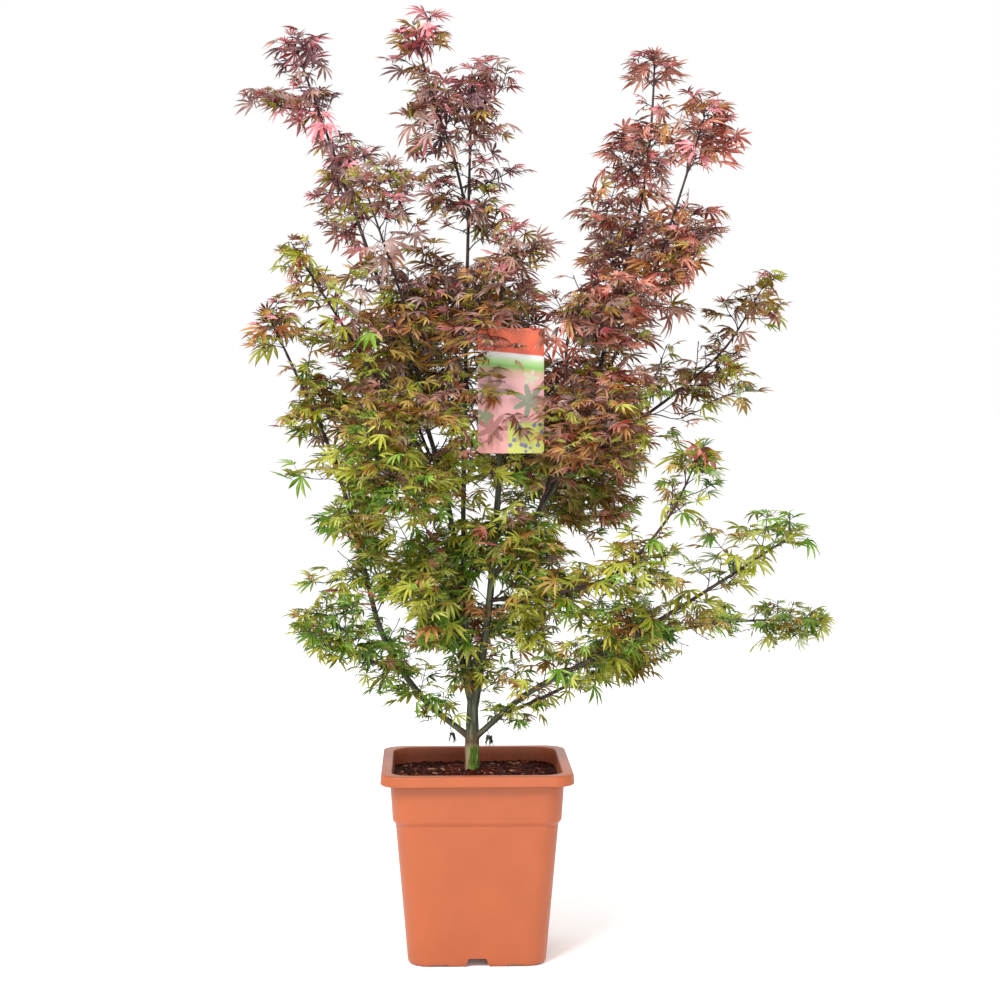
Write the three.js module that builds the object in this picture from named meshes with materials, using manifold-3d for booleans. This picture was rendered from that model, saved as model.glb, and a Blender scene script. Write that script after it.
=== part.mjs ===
// A young Japanese maple, grown with several stems, in a square moulded pot with a hanging card.
//
// Millimetres, +Z up, +X to the right and +Y to the back. The origin is the middle of the pot's
// flat underside. The limbs are tapering tubes bent along curves, each from a place on the limb
// that bears it. The leaves are uneven solids, strung along the limbs like beads, so that the
// crown keeps its outline and its gaps. Pieces that meet keep a hair's gap between them.

import * as THREE from 'three';
import { mergeVertices } from 'three/addons/utils/BufferGeometryUtils.js';
import Module from 'manifold-3d';

const wasm = await Module();
wasm.setup();

// ---------------------------------------------------------------- driving dimensions

const GAP = 0.3; // between two pieces that touch
const PAST = 2; // how far a cutting shape runs past the face that it cuts

const POT_HEIGHT = 270;
const POT_WALL = 3;
const POT_CORNER_STEPS = 3; // flats on each rounded corner
const RIM_HALF = 130; // half the width over the rim
const RIM_DROP = 15; // height of the rim's turned-down lip
const RIM_LIP = 2.5; // thickness of that lip
const RIM_CORNER = 30;
const RIM_BEVEL = 1.5; // along the rim's top edge
const WALL_TOP_HALF = 120; // half the pot's width just below the rim
const WALL_CORNER = 24;
const STEP_HEIGHT = 198; // where the wall steps in
const STEP_TOP_HALF = 116.2;
const STEP_FOOT_HALF = 112;
const FOOT_HALF = 95.5; // half the width near the floor
const FOOT_ROUND = 9; // radius of the bottom edge
const FLOOR_TOP = 17;
const NOTCH_HEIGHT = 12; // drain notch in the middle of each bottom edge
const NOTCH_WIDTH = 38;
const NOTCH_TOP_WIDTH = 24;
const NOTCH_INNER_END = 52; // where the notch ends, from the pot's middle
const SLOT_HEIGHT = 3; // shallow channels beside the notches
const SLOT_WIDTH = 23;
const SLOT_OFFSET = 52;
const DRAIN_RADIUS = 7;
const DRAIN_OFFSET = 62;
const DRAIN_SIDES = 8;
const LEDGE_RISE = 0.01; // a ledge rises by this over its width

const SOIL_TOP = 252;

const LIMB_SIDES = 6;
const TRUNK_SIDES = 8;
const LIMB_STEP = 115; // length of one straight length of a limb
const FLARE = 4.5; // how far the trunk's foot swells, and over what height
const FLARE_HEIGHT = 14;

const CARD_WIDTH = 90;
const CARD_HEIGHT = 170;
const CARD_THICKNESS = 1.2;
const CARD_TOP = 876;
const CARD_ASIDE = 18; // the card hangs this far right of its stem
const STRAP_WIDTH = 9;
const STRAP_WALL = 1.2;
const STRAP_HEIGHT = 6;
const LOOP_ROOM = 0.8; // between the strap's loop and the stem in it
const LOOP_SIDES = 12;

const LEAF_GAP = 0.45; // between two masses of leaves
const BIG_MASS = 100; // a mass with a half size over this has more facets
const FACET_SWELL = 1.07; // makes up for what flat facets take off a mass
const GREEN_BELOW = 500; // leaves are green up to this height
const RED_ABOVE = 1000; // and fully red from this one

const FINISHES = {
  pot: { color: 0xd8784c, roughness: 0.5 },
  soil: { color: 0x3b2417, roughness: 0.95 },
  bark: { color: 0x5a4a3c, roughness: 0.8 },
  card: { color: 0xe86a4c, roughness: 0.4 },
  redLeaves: { color: 0x8c4a44, roughness: 0.9 },
  greenLeaves: { color: 0x6f7d2c, roughness: 0.9 },
};

// ---------------------------------------------------------------- the plant's build
// Each limb grows from a fraction of the length of the limb that bears it, through the points
// where it changes direction, to its tip. Radii are at its foot and at its tip. Its leaves sit in
// masses at fractions of its own length, each with its half sizes in width, depth and height,
// and with a shift from the limb where the mass is one-sided.

const TRUNK_FOOT = [-5, 12, SOIL_TOP + GAP];

const LIMBS = {
  trunk: { radii: [11.5, 10], through: [[-4, 12, 362]], leaves: [] },
  centre_right_leader: {
    from: 'trunk',
    at: 0.9,
    radii: [6, 2],
    through: [[14, 4, 450], [24, -20, 560], [32, -50, 700], [28, -80, 880], [45, -95, 985]],
    leaves: [{ at: 0.98, size: [50, 60, 49], shift: [10, 0, 0] }],
  },
  upper_left_leader: {
    from: 'trunk',
    at: 0.92,
    radii: [4.5, 1.5],
    through: [[-24, 26, 430], [-32, 34, 600], [-95, 75, 820], [-180, 105, 1070], [-260, 118, 1295]],
    leaves: [
      { at: 0.98, size: [48, 44, 46], shift: [6, 0, -3] },
      { at: 0.91, size: [88, 60, 32], shift: [-12, 0, -5] },
      { at: 0.81, size: [66, 62, 56], shift: [-10, 0, -5] },
      { at: 0.7, size: [66, 66, 46] },
    ],
  },
  centre_leader: {
    from: 'trunk',
    at: 0.95,
    radii: [4.2, 1.5],
    through: [[-12, 6, 430], [-17, 18, 600], [-14, 32, 790], [-10, 38, 1000], [-4, 40, 1238]],
    leaves: [
      { at: 0.95, size: [56, 54, 72], shift: [28, 0, 0] },
      { at: 0.79, size: [64, 64, 54] },
      { at: 0.63, size: [118, 110, 72], shift: [-6, -6, 0] },
      { at: 0.2, size: [128, 140, 108], shift: [16, -20, -18] },
    ],
  },
  lower_left_bough: {
    from: 'trunk',
    at: 0.38,
    radii: [5, 1.5],
    through: [[-74, 32, 354], [-121, 52, 417], [-151, 68, 509], [-199, 85, 685], [-296, 98, 900]],
    leaves: [
      { at: 0.97, size: [37, 54, 46] },
      { at: 0.8, size: [55, 72, 66] },
      { at: 0.54, size: [57, 84, 118] },
    ],
  },
  lower_right_bough: {
    from: 'trunk',
    at: 0.42,
    radii: [4.8, 1.5],
    through: [[76, -38, 373], [158, -75, 423], [277, -110, 498], [430, -132, 600]],
    leaves: [
      { at: 0.96, size: [46, 46, 38], shift: [-8, 0, 10] },
      { at: 0.77, size: [56, 56, 43], shift: [-7, 0, 8] },
      { at: 0.53, size: [68, 64, 48], shift: [-10, 8, 18] },
      { at: 0.18, size: [48, 46, 36], shift: [-6, -8, 4] },
    ],
  },
  low_left_branch: {
    from: 'lower_left_bough',
    at: 0.21,
    radii: [2.8, 1.5],
    through: [[-151, -55, 421], [-204, -115, 458]],
    leaves: [{ at: 1, size: [66, 66, 56], shift: [10, 0, 18] }],
  },
  low_right_branch: {
    from: 'lower_right_bough',
    at: 0.11,
    radii: [3.2, 1.5],
    through: [[100, -5, 362], [170, 22, 392], [222, 48, 405]],
    leaves: [{ at: 0.92, size: [68, 58, 44], shift: [-4, 4, 7] }],
  },
  far_low_right_bough: {
    from: 'lower_right_bough',
    at: 0.38,
    radii: [3, 1.2],
    through: [[266, 20, 447], [395, 78, 458], [505, 88, 455]],
    leaves: [{ at: 0.88, size: [68, 54, 48] }],
  },
  mid_right_bough: {
    from: 'centre_right_leader',
    at: 0.23,
    radii: [3.2, 1.2],
    through: [[150, -100, 525], [215, -140, 570], [280, -163, 668], [297, -170, 715]],
    leaves: [
      { at: 0.93, size: [38, 50, 42] },
      { at: 0.6, size: [60, 60, 60], shift: [10, 4, -8] },
    ],
  },
  right_leader: {
    from: 'centre_right_leader',
    at: 0.32,
    radii: [4, 1.5],
    through: [[119, 10, 665], [164, 60, 774], [212, 100, 948], [248, 118, 1090], [262, 124, 1270]],
    leaves: [
      { at: 0.98, size: [48, 48, 39] },
      { at: 0.84, size: [64, 62, 60], shift: [-10, 0, 0] },
      { at: 0.66, size: [78, 70, 68], shift: [-18, 0, 6] },
    ],
  },
  right_bough: {
    from: 'right_leader',
    at: 0.21,
    radii: [2.8, 1.2],
    through: [[250, 60, 760], [350, 75, 840], [412, 80, 935]],
    leaves: [
      { at: 0.97, size: [47, 52, 52], shift: [10, 0, -6] },
      { at: 0.68, size: [68, 56, 64], shift: [-2, 0, -10] },
    ],
  },
  right_inner_leader: {
    from: 'right_leader',
    at: 0.15,
    radii: [2.8, 1.5],
    through: [[120, -70, 760], [122, -95, 860], [165, -95, 945]],
    leaves: [
      { at: 0.95, size: [76, 66, 72], shift: [12, 0, -24] },
      { at: 0.46, size: [82, 92, 82], shift: [44, -54, -20] },
    ],
  },
  far_right_leader: {
    from: 'right_leader',
    at: 0.36,
    radii: [2.8, 1.2],
    through: [[240, 20, 930], [290, -45, 1090], [312, -58, 1165]],
    leaves: [
      { at: 0.98, size: [45, 50, 52], shift: [4, 0, -12] },
      { at: 0.56, size: [70, 68, 92], shift: [30, -6, -14] },
    ],
  },
  left_side_bough: {
    from: 'upper_left_leader',
    at: 0.31,
    radii: [2.8, 1.2],
    through: [[-119, -20, 778], [-177, -60, 871], [-250, -94, 990]],
    leaves: [{ at: 0.9, size: [49, 52, 60] }],
  },
  small_left_leader: {
    from: 'upper_left_leader',
    at: 0.41,
    radii: [2.5, 1.2],
    through: [[-98, -20, 900], [-155, -115, 1075]],
    leaves: [{ at: 0.96, size: [51, 60, 49], shift: [28, 0, 6] }],
  },
  centre_left_leader: {
    from: 'centre_leader',
    at: 0.8,
    radii: [2.3, 1.2],
    through: [[-49, -10, 1166], [-86, -55, 1285]],
    leaves: [
      { at: 0.9, size: [38, 44, 47] },
      { at: 0.53, size: [53, 56, 52], shift: [-3, -12, -6] },
    ],
  },
  back_left_bough: {
    from: 'centre_leader',
    at: 0.33,
    radii: [3, 1.5],
    through: [[-55, 110, 680], [-105, 175, 800]],
    leaves: [{ at: 0.94, size: [110, 100, 116] }],
  },
  back_right_bough: {
    from: 'centre_leader',
    at: 0.35,
    radii: [3, 1.5],
    through: [[60, 120, 690], [145, 185, 770]],
    leaves: [{ at: 0.94, size: [112, 100, 150], shift: [4, 6, -52] }],
  },
  front_left_bough: {
    from: 'upper_left_leader',
    at: 0.29,
    radii: [3, 1.5],
    through: [[-72, -60, 680], [-105, -145, 740]],
    leaves: [{ at: 0.98, size: [92, 90, 98], shift: [4, -5, -24] }],
  },
};

// A mass swells and sinks in three slow waves. Each has a height, a direction that it runs in,
// and a shift from one mass to the next.
const WAVES = [
  { height: 0.09, along: [3.1, 0, 2.7], shift: 1.3 },
  { height: 0.08, along: [-2.9, 4.3, 0], shift: 2.1 },
  { height: 0.05, along: [0, 3.3, 5.7], shift: 3.7 },
];

// ---------------------------------------------------------------- solids and meshes

function toSolid(geometry) {
  geometry.deleteAttribute('normal');
  geometry.deleteAttribute('uv');
  const merged = mergeVertices(geometry);
  const mesh = new wasm.Mesh({
    numProp: 3,
    vertProperties: new Float32Array(merged.attributes.position.array),
    triVerts: new Uint32Array(merged.index.array),
  });
  return new wasm.Manifold(mesh);
}

function toGeometry(solid) {
  const mesh = solid.getMesh();
  const geometry = new THREE.BufferGeometry();
  geometry.setAttribute('position', new THREE.BufferAttribute(mesh.vertProperties, 3));
  geometry.setIndex(new THREE.BufferAttribute(mesh.triVerts, 1));
  return geometry;
}

// A cut can leave a crumb on the far side of the cutter: the piece is the largest body.
function largestBody(solid) {
  const bodies = solid.decompose();
  return bodies.reduce((best, body) => (body.volume() > best.volume() ? body : best));
}

function carve(solid, cutters) {
  const carved = cutters.reduce((rest, cutter) => rest.subtract(cutter), solid);
  return largestBody(carved);
}

function addMesh(group, name, solid, finish) {
  const material = new THREE.MeshStandardMaterial({ ...finish, metalness: 0 });
  const mesh = new THREE.Mesh(toGeometry(solid), material);
  mesh.name = name;
  group.add(mesh);
}

function boxSolid(sizeX, sizeY, sizeZ, x, y, z) {
  const geometry = new THREE.BoxGeometry(sizeX, sizeY, sizeZ);
  geometry.translate(x, y, z);
  return toSolid(geometry);
}

// ---------------------------------------------------------------- pot

// The outline of a square with round corners, from the middle of whose sides it is half away.
function roundedSquare(half, corner) {
  const straight = half - corner;
  const points = [];
  for (let side = 0; side < 4; side += 1) {
    const middle = (side + 0.5) * Math.PI / 2;
    const centreX = straight * Math.sign(Math.cos(middle));
    const centreY = straight * Math.sign(Math.sin(middle));
    for (let step = 0; step <= POT_CORNER_STEPS; step += 1) {
      const angle = (side + step / POT_CORNER_STEPS) * Math.PI / 2;
      points.push([centreX + corner * Math.cos(angle), centreY + corner * Math.sin(angle)]);
    }
  }
  return points;
}

// A closed stack of rounded squares: levels are [height, half width, corner radius], upwards.
function squareStack(levels) {
  const outlines = levels.map(([, half, corner]) => roundedSquare(half, corner));
  const sides = outlines[0].length;
  const rows = levels.length - 1;
  const geometry = new THREE.CylinderGeometry(1, 1, rows, sides, rows);
  const place = geometry.attributes.position;
  for (let i = 0; i < place.count; i += 1) {
    const row = Math.round(place.getY(i) + rows / 2);
    const radius = Math.hypot(place.getX(i), place.getZ(i));
    const turn = Math.atan2(place.getX(i), place.getZ(i)) / (2 * Math.PI);
    const side = ((Math.round(turn * sides) % sides) + sides) % sides;
    const [x, y] = radius > 0.5 ? outlines[row][side] : [0, 0];
    place.setXYZ(i, x, y, levels[row][0]);
  }
  return toSolid(geometry);
}

function wallHalf(height) {
  const above = height > STEP_HEIGHT;
  const from = above ? STEP_HEIGHT : FOOT_ROUND;
  const to = above ? POT_HEIGHT - RIM_DROP : STEP_HEIGHT;
  const fromHalf = above ? STEP_TOP_HALF : FOOT_HALF;
  const toHalf = above ? WALL_TOP_HALF : STEP_FOOT_HALF;
  return THREE.MathUtils.mapLinear(height, from, to, fromHalf, toHalf);
}

// The room inside the wall, from the floor up to a height, kept back by a gap.
function potInside(fromHeight, toHeight, keptBack) {
  const corner = WALL_CORNER - POT_WALL - keptBack;
  const level = (height, half) => [height, half - POT_WALL - keptBack, corner];
  return squareStack([
    level(fromHeight, wallHalf(fromHeight)),
    level(STEP_HEIGHT + POT_WALL, STEP_FOOT_HALF),
    level(STEP_HEIGHT + 2 * POT_WALL, STEP_TOP_HALF),
    level(toHeight, wallHalf(toHeight)),
  ]);
}

function notchSolid() {
  const outline = new THREE.Shape();
  outline.moveTo(-NOTCH_WIDTH / 2 - PAST / 2, -PAST);
  outline.lineTo(NOTCH_WIDTH / 2 + PAST / 2, -PAST);
  outline.lineTo(NOTCH_TOP_WIDTH / 2, NOTCH_HEIGHT);
  outline.lineTo(-NOTCH_TOP_WIDTH / 2, NOTCH_HEIGHT);
  const depth = FOOT_HALF + PAST - NOTCH_INNER_END;
  const geometry = new THREE.ExtrudeGeometry(outline, { depth, bevelEnabled: false });
  geometry.rotateX(Math.PI / 2);
  geometry.translate(0, -NOTCH_INNER_END, 0);
  return toSolid(geometry);
}

function potUndersideCuts() {
  const drainLength = FLOOR_TOP + PAST;
  const drain = new THREE.CylinderGeometry(DRAIN_RADIUS, DRAIN_RADIUS, drainLength, DRAIN_SIDES);
  drain.rotateX(Math.PI / 2);
  drain.translate(0, -DRAIN_OFFSET, drainLength / 2 + SLOT_HEIGHT);
  const slotLength = 2 * (FOOT_HALF + PAST);
  const slotDepth = SLOT_HEIGHT + PAST;
  const slotMiddle = SLOT_HEIGHT - slotDepth / 2;
  const side = notchSolid()
    .add(toSolid(drain))
    .add(boxSolid(SLOT_WIDTH, slotLength, slotDepth, SLOT_OFFSET, 0, slotMiddle));
  return [0, 90, 180, 270].map((degrees) => side.rotate([0, 0, degrees]));
}

// The levels of the round along the pot's bottom edge.
function footRoundLevels() {
  return [0, 30, 60, 90].map((degrees) => {
    const angle = THREE.MathUtils.degToRad(degrees);
    const inwards = FOOT_ROUND * (1 - Math.sin(angle));
    const height = FOOT_ROUND * (1 - Math.cos(angle));
    return [height, FOOT_HALF - inwards, WALL_CORNER - inwards / 2];
  });
}

function potSolid() {
  const lipFoot = POT_HEIGHT - RIM_DROP;
  const outside = squareStack([
    ...footRoundLevels(),
    [STEP_HEIGHT, STEP_FOOT_HALF, WALL_CORNER],
    [STEP_HEIGHT + POT_WALL, STEP_TOP_HALF, WALL_CORNER],
    [lipFoot, WALL_TOP_HALF, WALL_CORNER],
    [lipFoot + LEDGE_RISE, RIM_HALF, RIM_CORNER],
    [POT_HEIGHT - RIM_BEVEL, RIM_HALF, RIM_CORNER],
    [POT_HEIGHT, RIM_HALF - RIM_BEVEL, RIM_CORNER],
  ]);
  const underLip = [lipFoot - PAST, POT_HEIGHT - POT_WALL];
  const lipHalf = RIM_HALF - RIM_LIP;
  const lipRoom = squareStack(underLip.map((z) => [z, lipHalf, RIM_CORNER - RIM_LIP]));
  const wallKept = squareStack([
    [lipFoot - 2 * PAST, WALL_TOP_HALF, WALL_CORNER],
    [POT_HEIGHT, WALL_TOP_HALF, WALL_CORNER],
  ]);
  const inside = potInside(FLOOR_TOP, POT_HEIGHT + PAST, 0);
  return carve(outside, [lipRoom.subtract(wallKept), inside, ...potUndersideCuts()]);
}

// ---------------------------------------------------------------- limbs

const vector = (point) => new THREE.Vector3(...point);

function radiusAt(limb, fraction) {
  return THREE.MathUtils.lerp(limb.radii[0], limb.radii[1], fraction);
}

function straightLengths(limb) {
  const step = limb.from ? LIMB_STEP : FLARE_HEIGHT;
  return Math.max(4, Math.ceil(limb.curve.getLength() / step));
}

// The middle of the tube where its straight lengths pass a height.
function axisAtHeight(limb, height) {
  const points = limb.curve.getSpacedPoints(straightLengths(limb));
  const above = points.findIndex((point) => point.z >= height);
  const [from, to] = [points[above - 1], points[above]];
  const share = (height - from.z) / (to.z - from.z);
  const fraction = (above - 1 + share) / (points.length - 1);
  return { point: from.clone().lerp(to, share), radius: radiusAt(limb, fraction) };
}

// A tapering tube bent along the limb's curve, thicker all round by grow.
function limbSolid(name, limb, grow) {
  const { curve } = limb;
  const isTrunk = name === 'trunk';
  const rows = straightLengths(limb);
  const geometry = new THREE.CylinderGeometry(1, 1, 1, isTrunk ? TRUNK_SIDES : LIMB_SIDES, rows);
  const { normals, binormals } = curve.computeFrenetFrames(rows, false);
  const place = geometry.attributes.position;
  for (let i = 0; i < place.count; i += 1) {
    const row = Math.round((place.getY(i) + 0.5) * rows);
    const fraction = row / rows;
    const height = fraction * curve.getLength();
    const flare = isTrunk ? FLARE * Math.exp(-height / FLARE_HEIGHT) : 0;
    const radius = radiusAt(limb, fraction) + flare + grow;
    const point = curve.getPointAt(fraction);
    point.addScaledVector(normals[row], place.getX(i) * radius);
    point.addScaledVector(binormals[row], -place.getZ(i) * radius);
    place.setXYZ(i, point.x, point.y, point.z);
  }
  return toSolid(geometry);
}

function setCurves(limbs) {
  for (const limb of Object.values(limbs)) {
    const start = limb.from ? limbs[limb.from].curve.getPointAt(limb.at) : vector(TRUNK_FOOT);
    const points = [start, ...limb.through.map(vector)];
    limb.curve = new THREE.CatmullRomCurve3(points, false, 'centripetal');
  }
}

// ---------------------------------------------------------------- leaf masses

// How far the mass with this number swells or sinks in a direction.
function unevenness(direction, number) {
  const wave = ({ height, along, shift }) => (
    height * Math.sin(direction.dot(vector(along)) + shift * number)
  );
  return WAVES.reduce((sum, each) => sum + wave(each), FACET_SWELL);
}

function massSolid(mass, grow) {
  const detail = Math.max(...mass.size) > BIG_MASS ? 2 : 1;
  const geometry = new THREE.IcosahedronGeometry(1, detail);
  const place = geometry.attributes.position;
  const direction = new THREE.Vector3();
  for (let i = 0; i < place.count; i += 1) {
    direction.fromBufferAttribute(place, i);
    const point = direction.clone().multiply(vector(mass.size));
    point.multiplyScalar(unevenness(direction, mass.number));
    point.addScaledVector(direction, grow).add(mass.centre);
    place.setXYZ(i, point.x, point.y, point.z);
  }
  return toSolid(geometry);
}

function leafMasses(limbs) {
  const masses = [];
  for (const [limbName, limb] of Object.entries(limbs)) {
    limb.leaves.forEach(({ at, size, shift = [0, 0, 0] }, index) => {
      const centre = limb.curve.getPointAt(at).add(vector(shift));
      const name = `${limbName}_leaves_${index + 1}`;
      masses.push({ name, centre, size, number: masses.length });
    });
  }
  const bulk = ({ size }) => size[0] * size[1] * size[2];
  return masses.sort((a, b) => bulk(a) - bulk(b));
}

function leafFinish(height) {
  const share = THREE.MathUtils.smoothstep(height, GREEN_BELOW, RED_ABOVE);
  const green = new THREE.Color(FINISHES.greenLeaves.color);
  const red = new THREE.Color(FINISHES.redLeaves.color);
  return { ...FINISHES.greenLeaves, color: green.lerp(red, share) };
}

// ---------------------------------------------------------------- hanging card

// The card hangs by a short strap, whose loop goes round the stem with room to spare.
function cardSolid(stem, grow) {
  const { point: hold, radius } = axisAtHeight(stem, CARD_TOP + STRAP_HEIGHT);
  const inner = radius + LOOP_ROOM;
  const outer = inner + STRAP_WALL;
  const ring = [[inner - grow, -1], [outer + grow, -1], [outer + grow, 1], [inner - grow, 1]];
  const half = STRAP_HEIGHT / 2 + grow;
  const profile = [...ring, ring[0]].map(([r, end]) => new THREE.Vector2(r, end * half));
  const loop = new THREE.LatheGeometry(profile, LOOP_SIDES);
  loop.rotateX(Math.PI / 2);
  loop.translate(hold.x, hold.y, hold.z);
  const cardY = hold.y - outer - CARD_THICKNESS;
  const strapHeight = 2 * STRAP_HEIGHT;
  const strap = boxSolid(
    STRAP_WIDTH + 2 * grow,
    CARD_THICKNESS + 2 * grow,
    strapHeight + 2 * grow,
    hold.x,
    hold.y - outer,
    hold.z - STRAP_HEIGHT / 2,
  );
  const card = boxSolid(
    CARD_WIDTH + 2 * grow,
    CARD_THICKNESS + 2 * grow,
    CARD_HEIGHT + 2 * grow,
    hold.x + CARD_ASIDE,
    cardY + CARD_THICKNESS / 4,
    CARD_TOP - CARD_HEIGHT / 2,
  );
  return card.add(strap).add(toSolid(loop));
}

// ---------------------------------------------------------------- assembly

const maple = new THREE.Group();

addMesh(maple, 'pot', potSolid(), FINISHES.pot);
addMesh(maple, 'soil', potInside(FLOOR_TOP + GAP, SOIL_TOP, GAP), FINISHES.soil);

setCurves(LIMBS);
const cutters = [];
for (const [name, limb] of Object.entries(LIMBS)) {
  const solid = carve(limbSolid(name, limb, 0), cutters);
  addMesh(maple, name, solid, FINISHES.bark);
  cutters.push(limbSolid(name, limb, GAP));
}

addMesh(maple, 'plant_label', cardSolid(LIMBS.centre_right_leader, 0), FINISHES.card);
cutters.push(cardSolid(LIMBS.centre_right_leader, GAP));

for (const mass of leafMasses(LIMBS)) {
  const solid = carve(massSolid(mass, 0), cutters);
  addMesh(maple, mass.name, solid, leafFinish(mass.centre.z));
  cutters.push(massSolid(mass, LEAF_GAP));
}

export default maple;
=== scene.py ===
# %% [markdown]
# # A potted japanese maple
#
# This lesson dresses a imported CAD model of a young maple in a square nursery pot. The CAD model
# fixes where everything is: the pot, the limbs, and a plain solid for each mass of leaves. Here
# each of them gets its looks: a moulded pot, crumbly compost, bark with relief, and thousands of
# cut leaves on twigs that grow out of the limbs. All lengths are in metres, as in the frame.

import math
import random

import bmesh
import bpy
import numpy as np
from mathutils import Matrix, Vector, noise
from mathutils.bvhtree import BVHTree


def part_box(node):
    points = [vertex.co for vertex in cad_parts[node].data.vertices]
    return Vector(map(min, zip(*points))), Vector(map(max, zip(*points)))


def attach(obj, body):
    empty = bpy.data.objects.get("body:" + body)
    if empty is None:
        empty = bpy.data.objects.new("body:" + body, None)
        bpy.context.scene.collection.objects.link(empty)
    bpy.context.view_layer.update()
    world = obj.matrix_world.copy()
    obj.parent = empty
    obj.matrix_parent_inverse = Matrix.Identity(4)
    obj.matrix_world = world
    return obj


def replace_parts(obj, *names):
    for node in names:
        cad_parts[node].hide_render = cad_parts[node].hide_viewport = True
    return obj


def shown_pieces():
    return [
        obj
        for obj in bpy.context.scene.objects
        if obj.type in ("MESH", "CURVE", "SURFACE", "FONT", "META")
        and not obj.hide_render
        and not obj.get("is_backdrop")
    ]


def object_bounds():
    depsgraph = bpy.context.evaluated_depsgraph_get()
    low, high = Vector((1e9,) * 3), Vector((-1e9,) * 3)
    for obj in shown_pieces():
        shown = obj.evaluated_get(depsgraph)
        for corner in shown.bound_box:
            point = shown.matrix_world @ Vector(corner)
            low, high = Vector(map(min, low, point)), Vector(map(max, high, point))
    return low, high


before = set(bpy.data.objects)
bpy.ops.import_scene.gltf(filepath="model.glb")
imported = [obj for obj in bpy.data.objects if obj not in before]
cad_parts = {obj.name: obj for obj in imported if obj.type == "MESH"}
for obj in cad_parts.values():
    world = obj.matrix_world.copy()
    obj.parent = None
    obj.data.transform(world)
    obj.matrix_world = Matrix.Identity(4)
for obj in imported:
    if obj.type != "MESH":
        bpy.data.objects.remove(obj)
cad_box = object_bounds()
MM = 0.001
UP = Vector((0, 0, 1))
noise.seed_set(4)  # without a seed, noise vectors would differ from run to run
print("CAD box", [[round(c, 3) for c in corner] for corner in cad_box])

# %% [markdown]
# ## Camera, floor and light
#
# Plants are sold on white: a camera three metres off with a long lens, so that the pot's sides
# stay nearly upright, on a white floor in a white room. The room is a plain white world, which
# lights the plant from all round. One large soft lamp high on the left shapes the leaves, a small
# one beside the camera gives the pot its sheen, and one behind rims the crown. The tones stay
# true with the Standard view transform.

# %% Camera
CAMERA_PLACE = Vector((-0.0666, -3.150, 0.810))
CAMERA_DOWN = math.radians(3.13)
CAMERA_RIGHT = math.radians(1.83)
LENS_MM = 81.1
SENSOR_MM = 36

scene = bpy.context.scene
scene.view_settings.view_transform = "Standard"
camera_data = bpy.data.cameras.new("camera")
camera_data.lens = LENS_MM
camera_data.sensor_width = SENSOR_MM
camera = bpy.data.objects.new("camera", camera_data)
camera.location = CAMERA_PLACE
camera.rotation_euler = (math.pi / 2 - CAMERA_DOWN, 0, -CAMERA_RIGHT)
scene.collection.objects.link(camera)
scene.camera = camera
print("lens", LENS_MM, "mm, from", tuple(round(c, 2) for c in CAMERA_PLACE))


# %% Helpers for colours and shader nodes
def linear(hex_colour):
    """The linear RGBA of an sRGB hex colour."""
    parts = [int(hex_colour[i:i + 2], 16) / 255 for i in (1, 3, 5)]
    lit = [c / 12.92 if c <= 0.04045 else ((c + 0.055) / 1.055) ** 2.4 for c in parts]
    return (*lit, 1.0)


def set_inputs(node, values):
    """Sets inputs of a node, each to a number, a vector, a hex colour or another node's output."""
    for socket, value in values.items():
        if isinstance(value, bpy.types.NodeSocket):
            node.id_data.links.new(value, node.inputs[socket])
        else:
            node.inputs[socket].default_value = linear(value) if isinstance(value, str) else value


def add_node(tree, kind, inputs=None, output=0, stops=(), **settings):
    """Adds a node with its settings, inputs and ramp stops, and returns one of its outputs."""
    made = tree.nodes.new("ShaderNode" + kind)
    for name, value in settings.items():
        setattr(made, name, value)
    set_inputs(made, inputs or {})
    if stops:
        elements = made.color_ramp.elements
        while len(elements) < len(stops):
            elements.new(1.0)
        for element, (position, colour) in zip(elements, stops):
            element.position = position
            element.color = linear(colour)
    return made.outputs[output]


def painted(tree, colour, *coats):
    """A colour with coats of paint over it, each as (how much of it there is, its colour)."""
    for share, coat in coats:
        colour = add_node(tree, "Mix", {0: share, 6: colour, 7: coat}, 2, data_type="RGBA")
    return colour


def new_material(name):
    """An empty material: its node tree and its Principled shader."""
    material = bpy.data.materials.new(name)
    material.use_nodes = True
    tree = material.node_tree
    return material, tree, tree.nodes["Principled BSDF"]


# %% Helpers for pieces
def add_object(name, mesh, *materials):
    piece = bpy.data.objects.new(name, mesh)
    for material in materials:
        mesh.materials.append(material)
    scene.collection.objects.link(piece)
    return piece


def shade(mesh, smooth_angle):
    """Makes a mesh smooth except across edges sharper than the angle."""
    if smooth_angle is not None:
        mesh.shade_smooth()
        mesh.set_sharp_from_angle(angle=math.radians(smooth_angle))


def mesh_from(bm, name, smooth_angle=None):
    """Turns a bmesh into a mesh whose faces point outwards."""
    bmesh.ops.recalc_face_normals(bm, faces=bm.faces[:])
    mesh = bpy.data.meshes.new(name)
    bm.to_mesh(mesh)
    bm.free()
    shade(mesh, smooth_angle)
    return mesh


def verts_in(geometry):
    """The vertices among the elements that an operator returns."""
    return [g for g in geometry if isinstance(g, bmesh.types.BMVert)]


def part_of_plant(piece, slot, *nodes):
    """The piece rides on the only body and stands for these CAD nodes."""
    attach(piece, "root")
    if nodes:
        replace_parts(piece, *nodes)
    piece.data.calc_loop_triangles()
    print(f"{piece.name}: {len(piece.data.loop_triangles)} triangles")


# %% Floor and world
FLOOR_HALF = 40.0
WHITE = "#FFFFFF"

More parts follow.
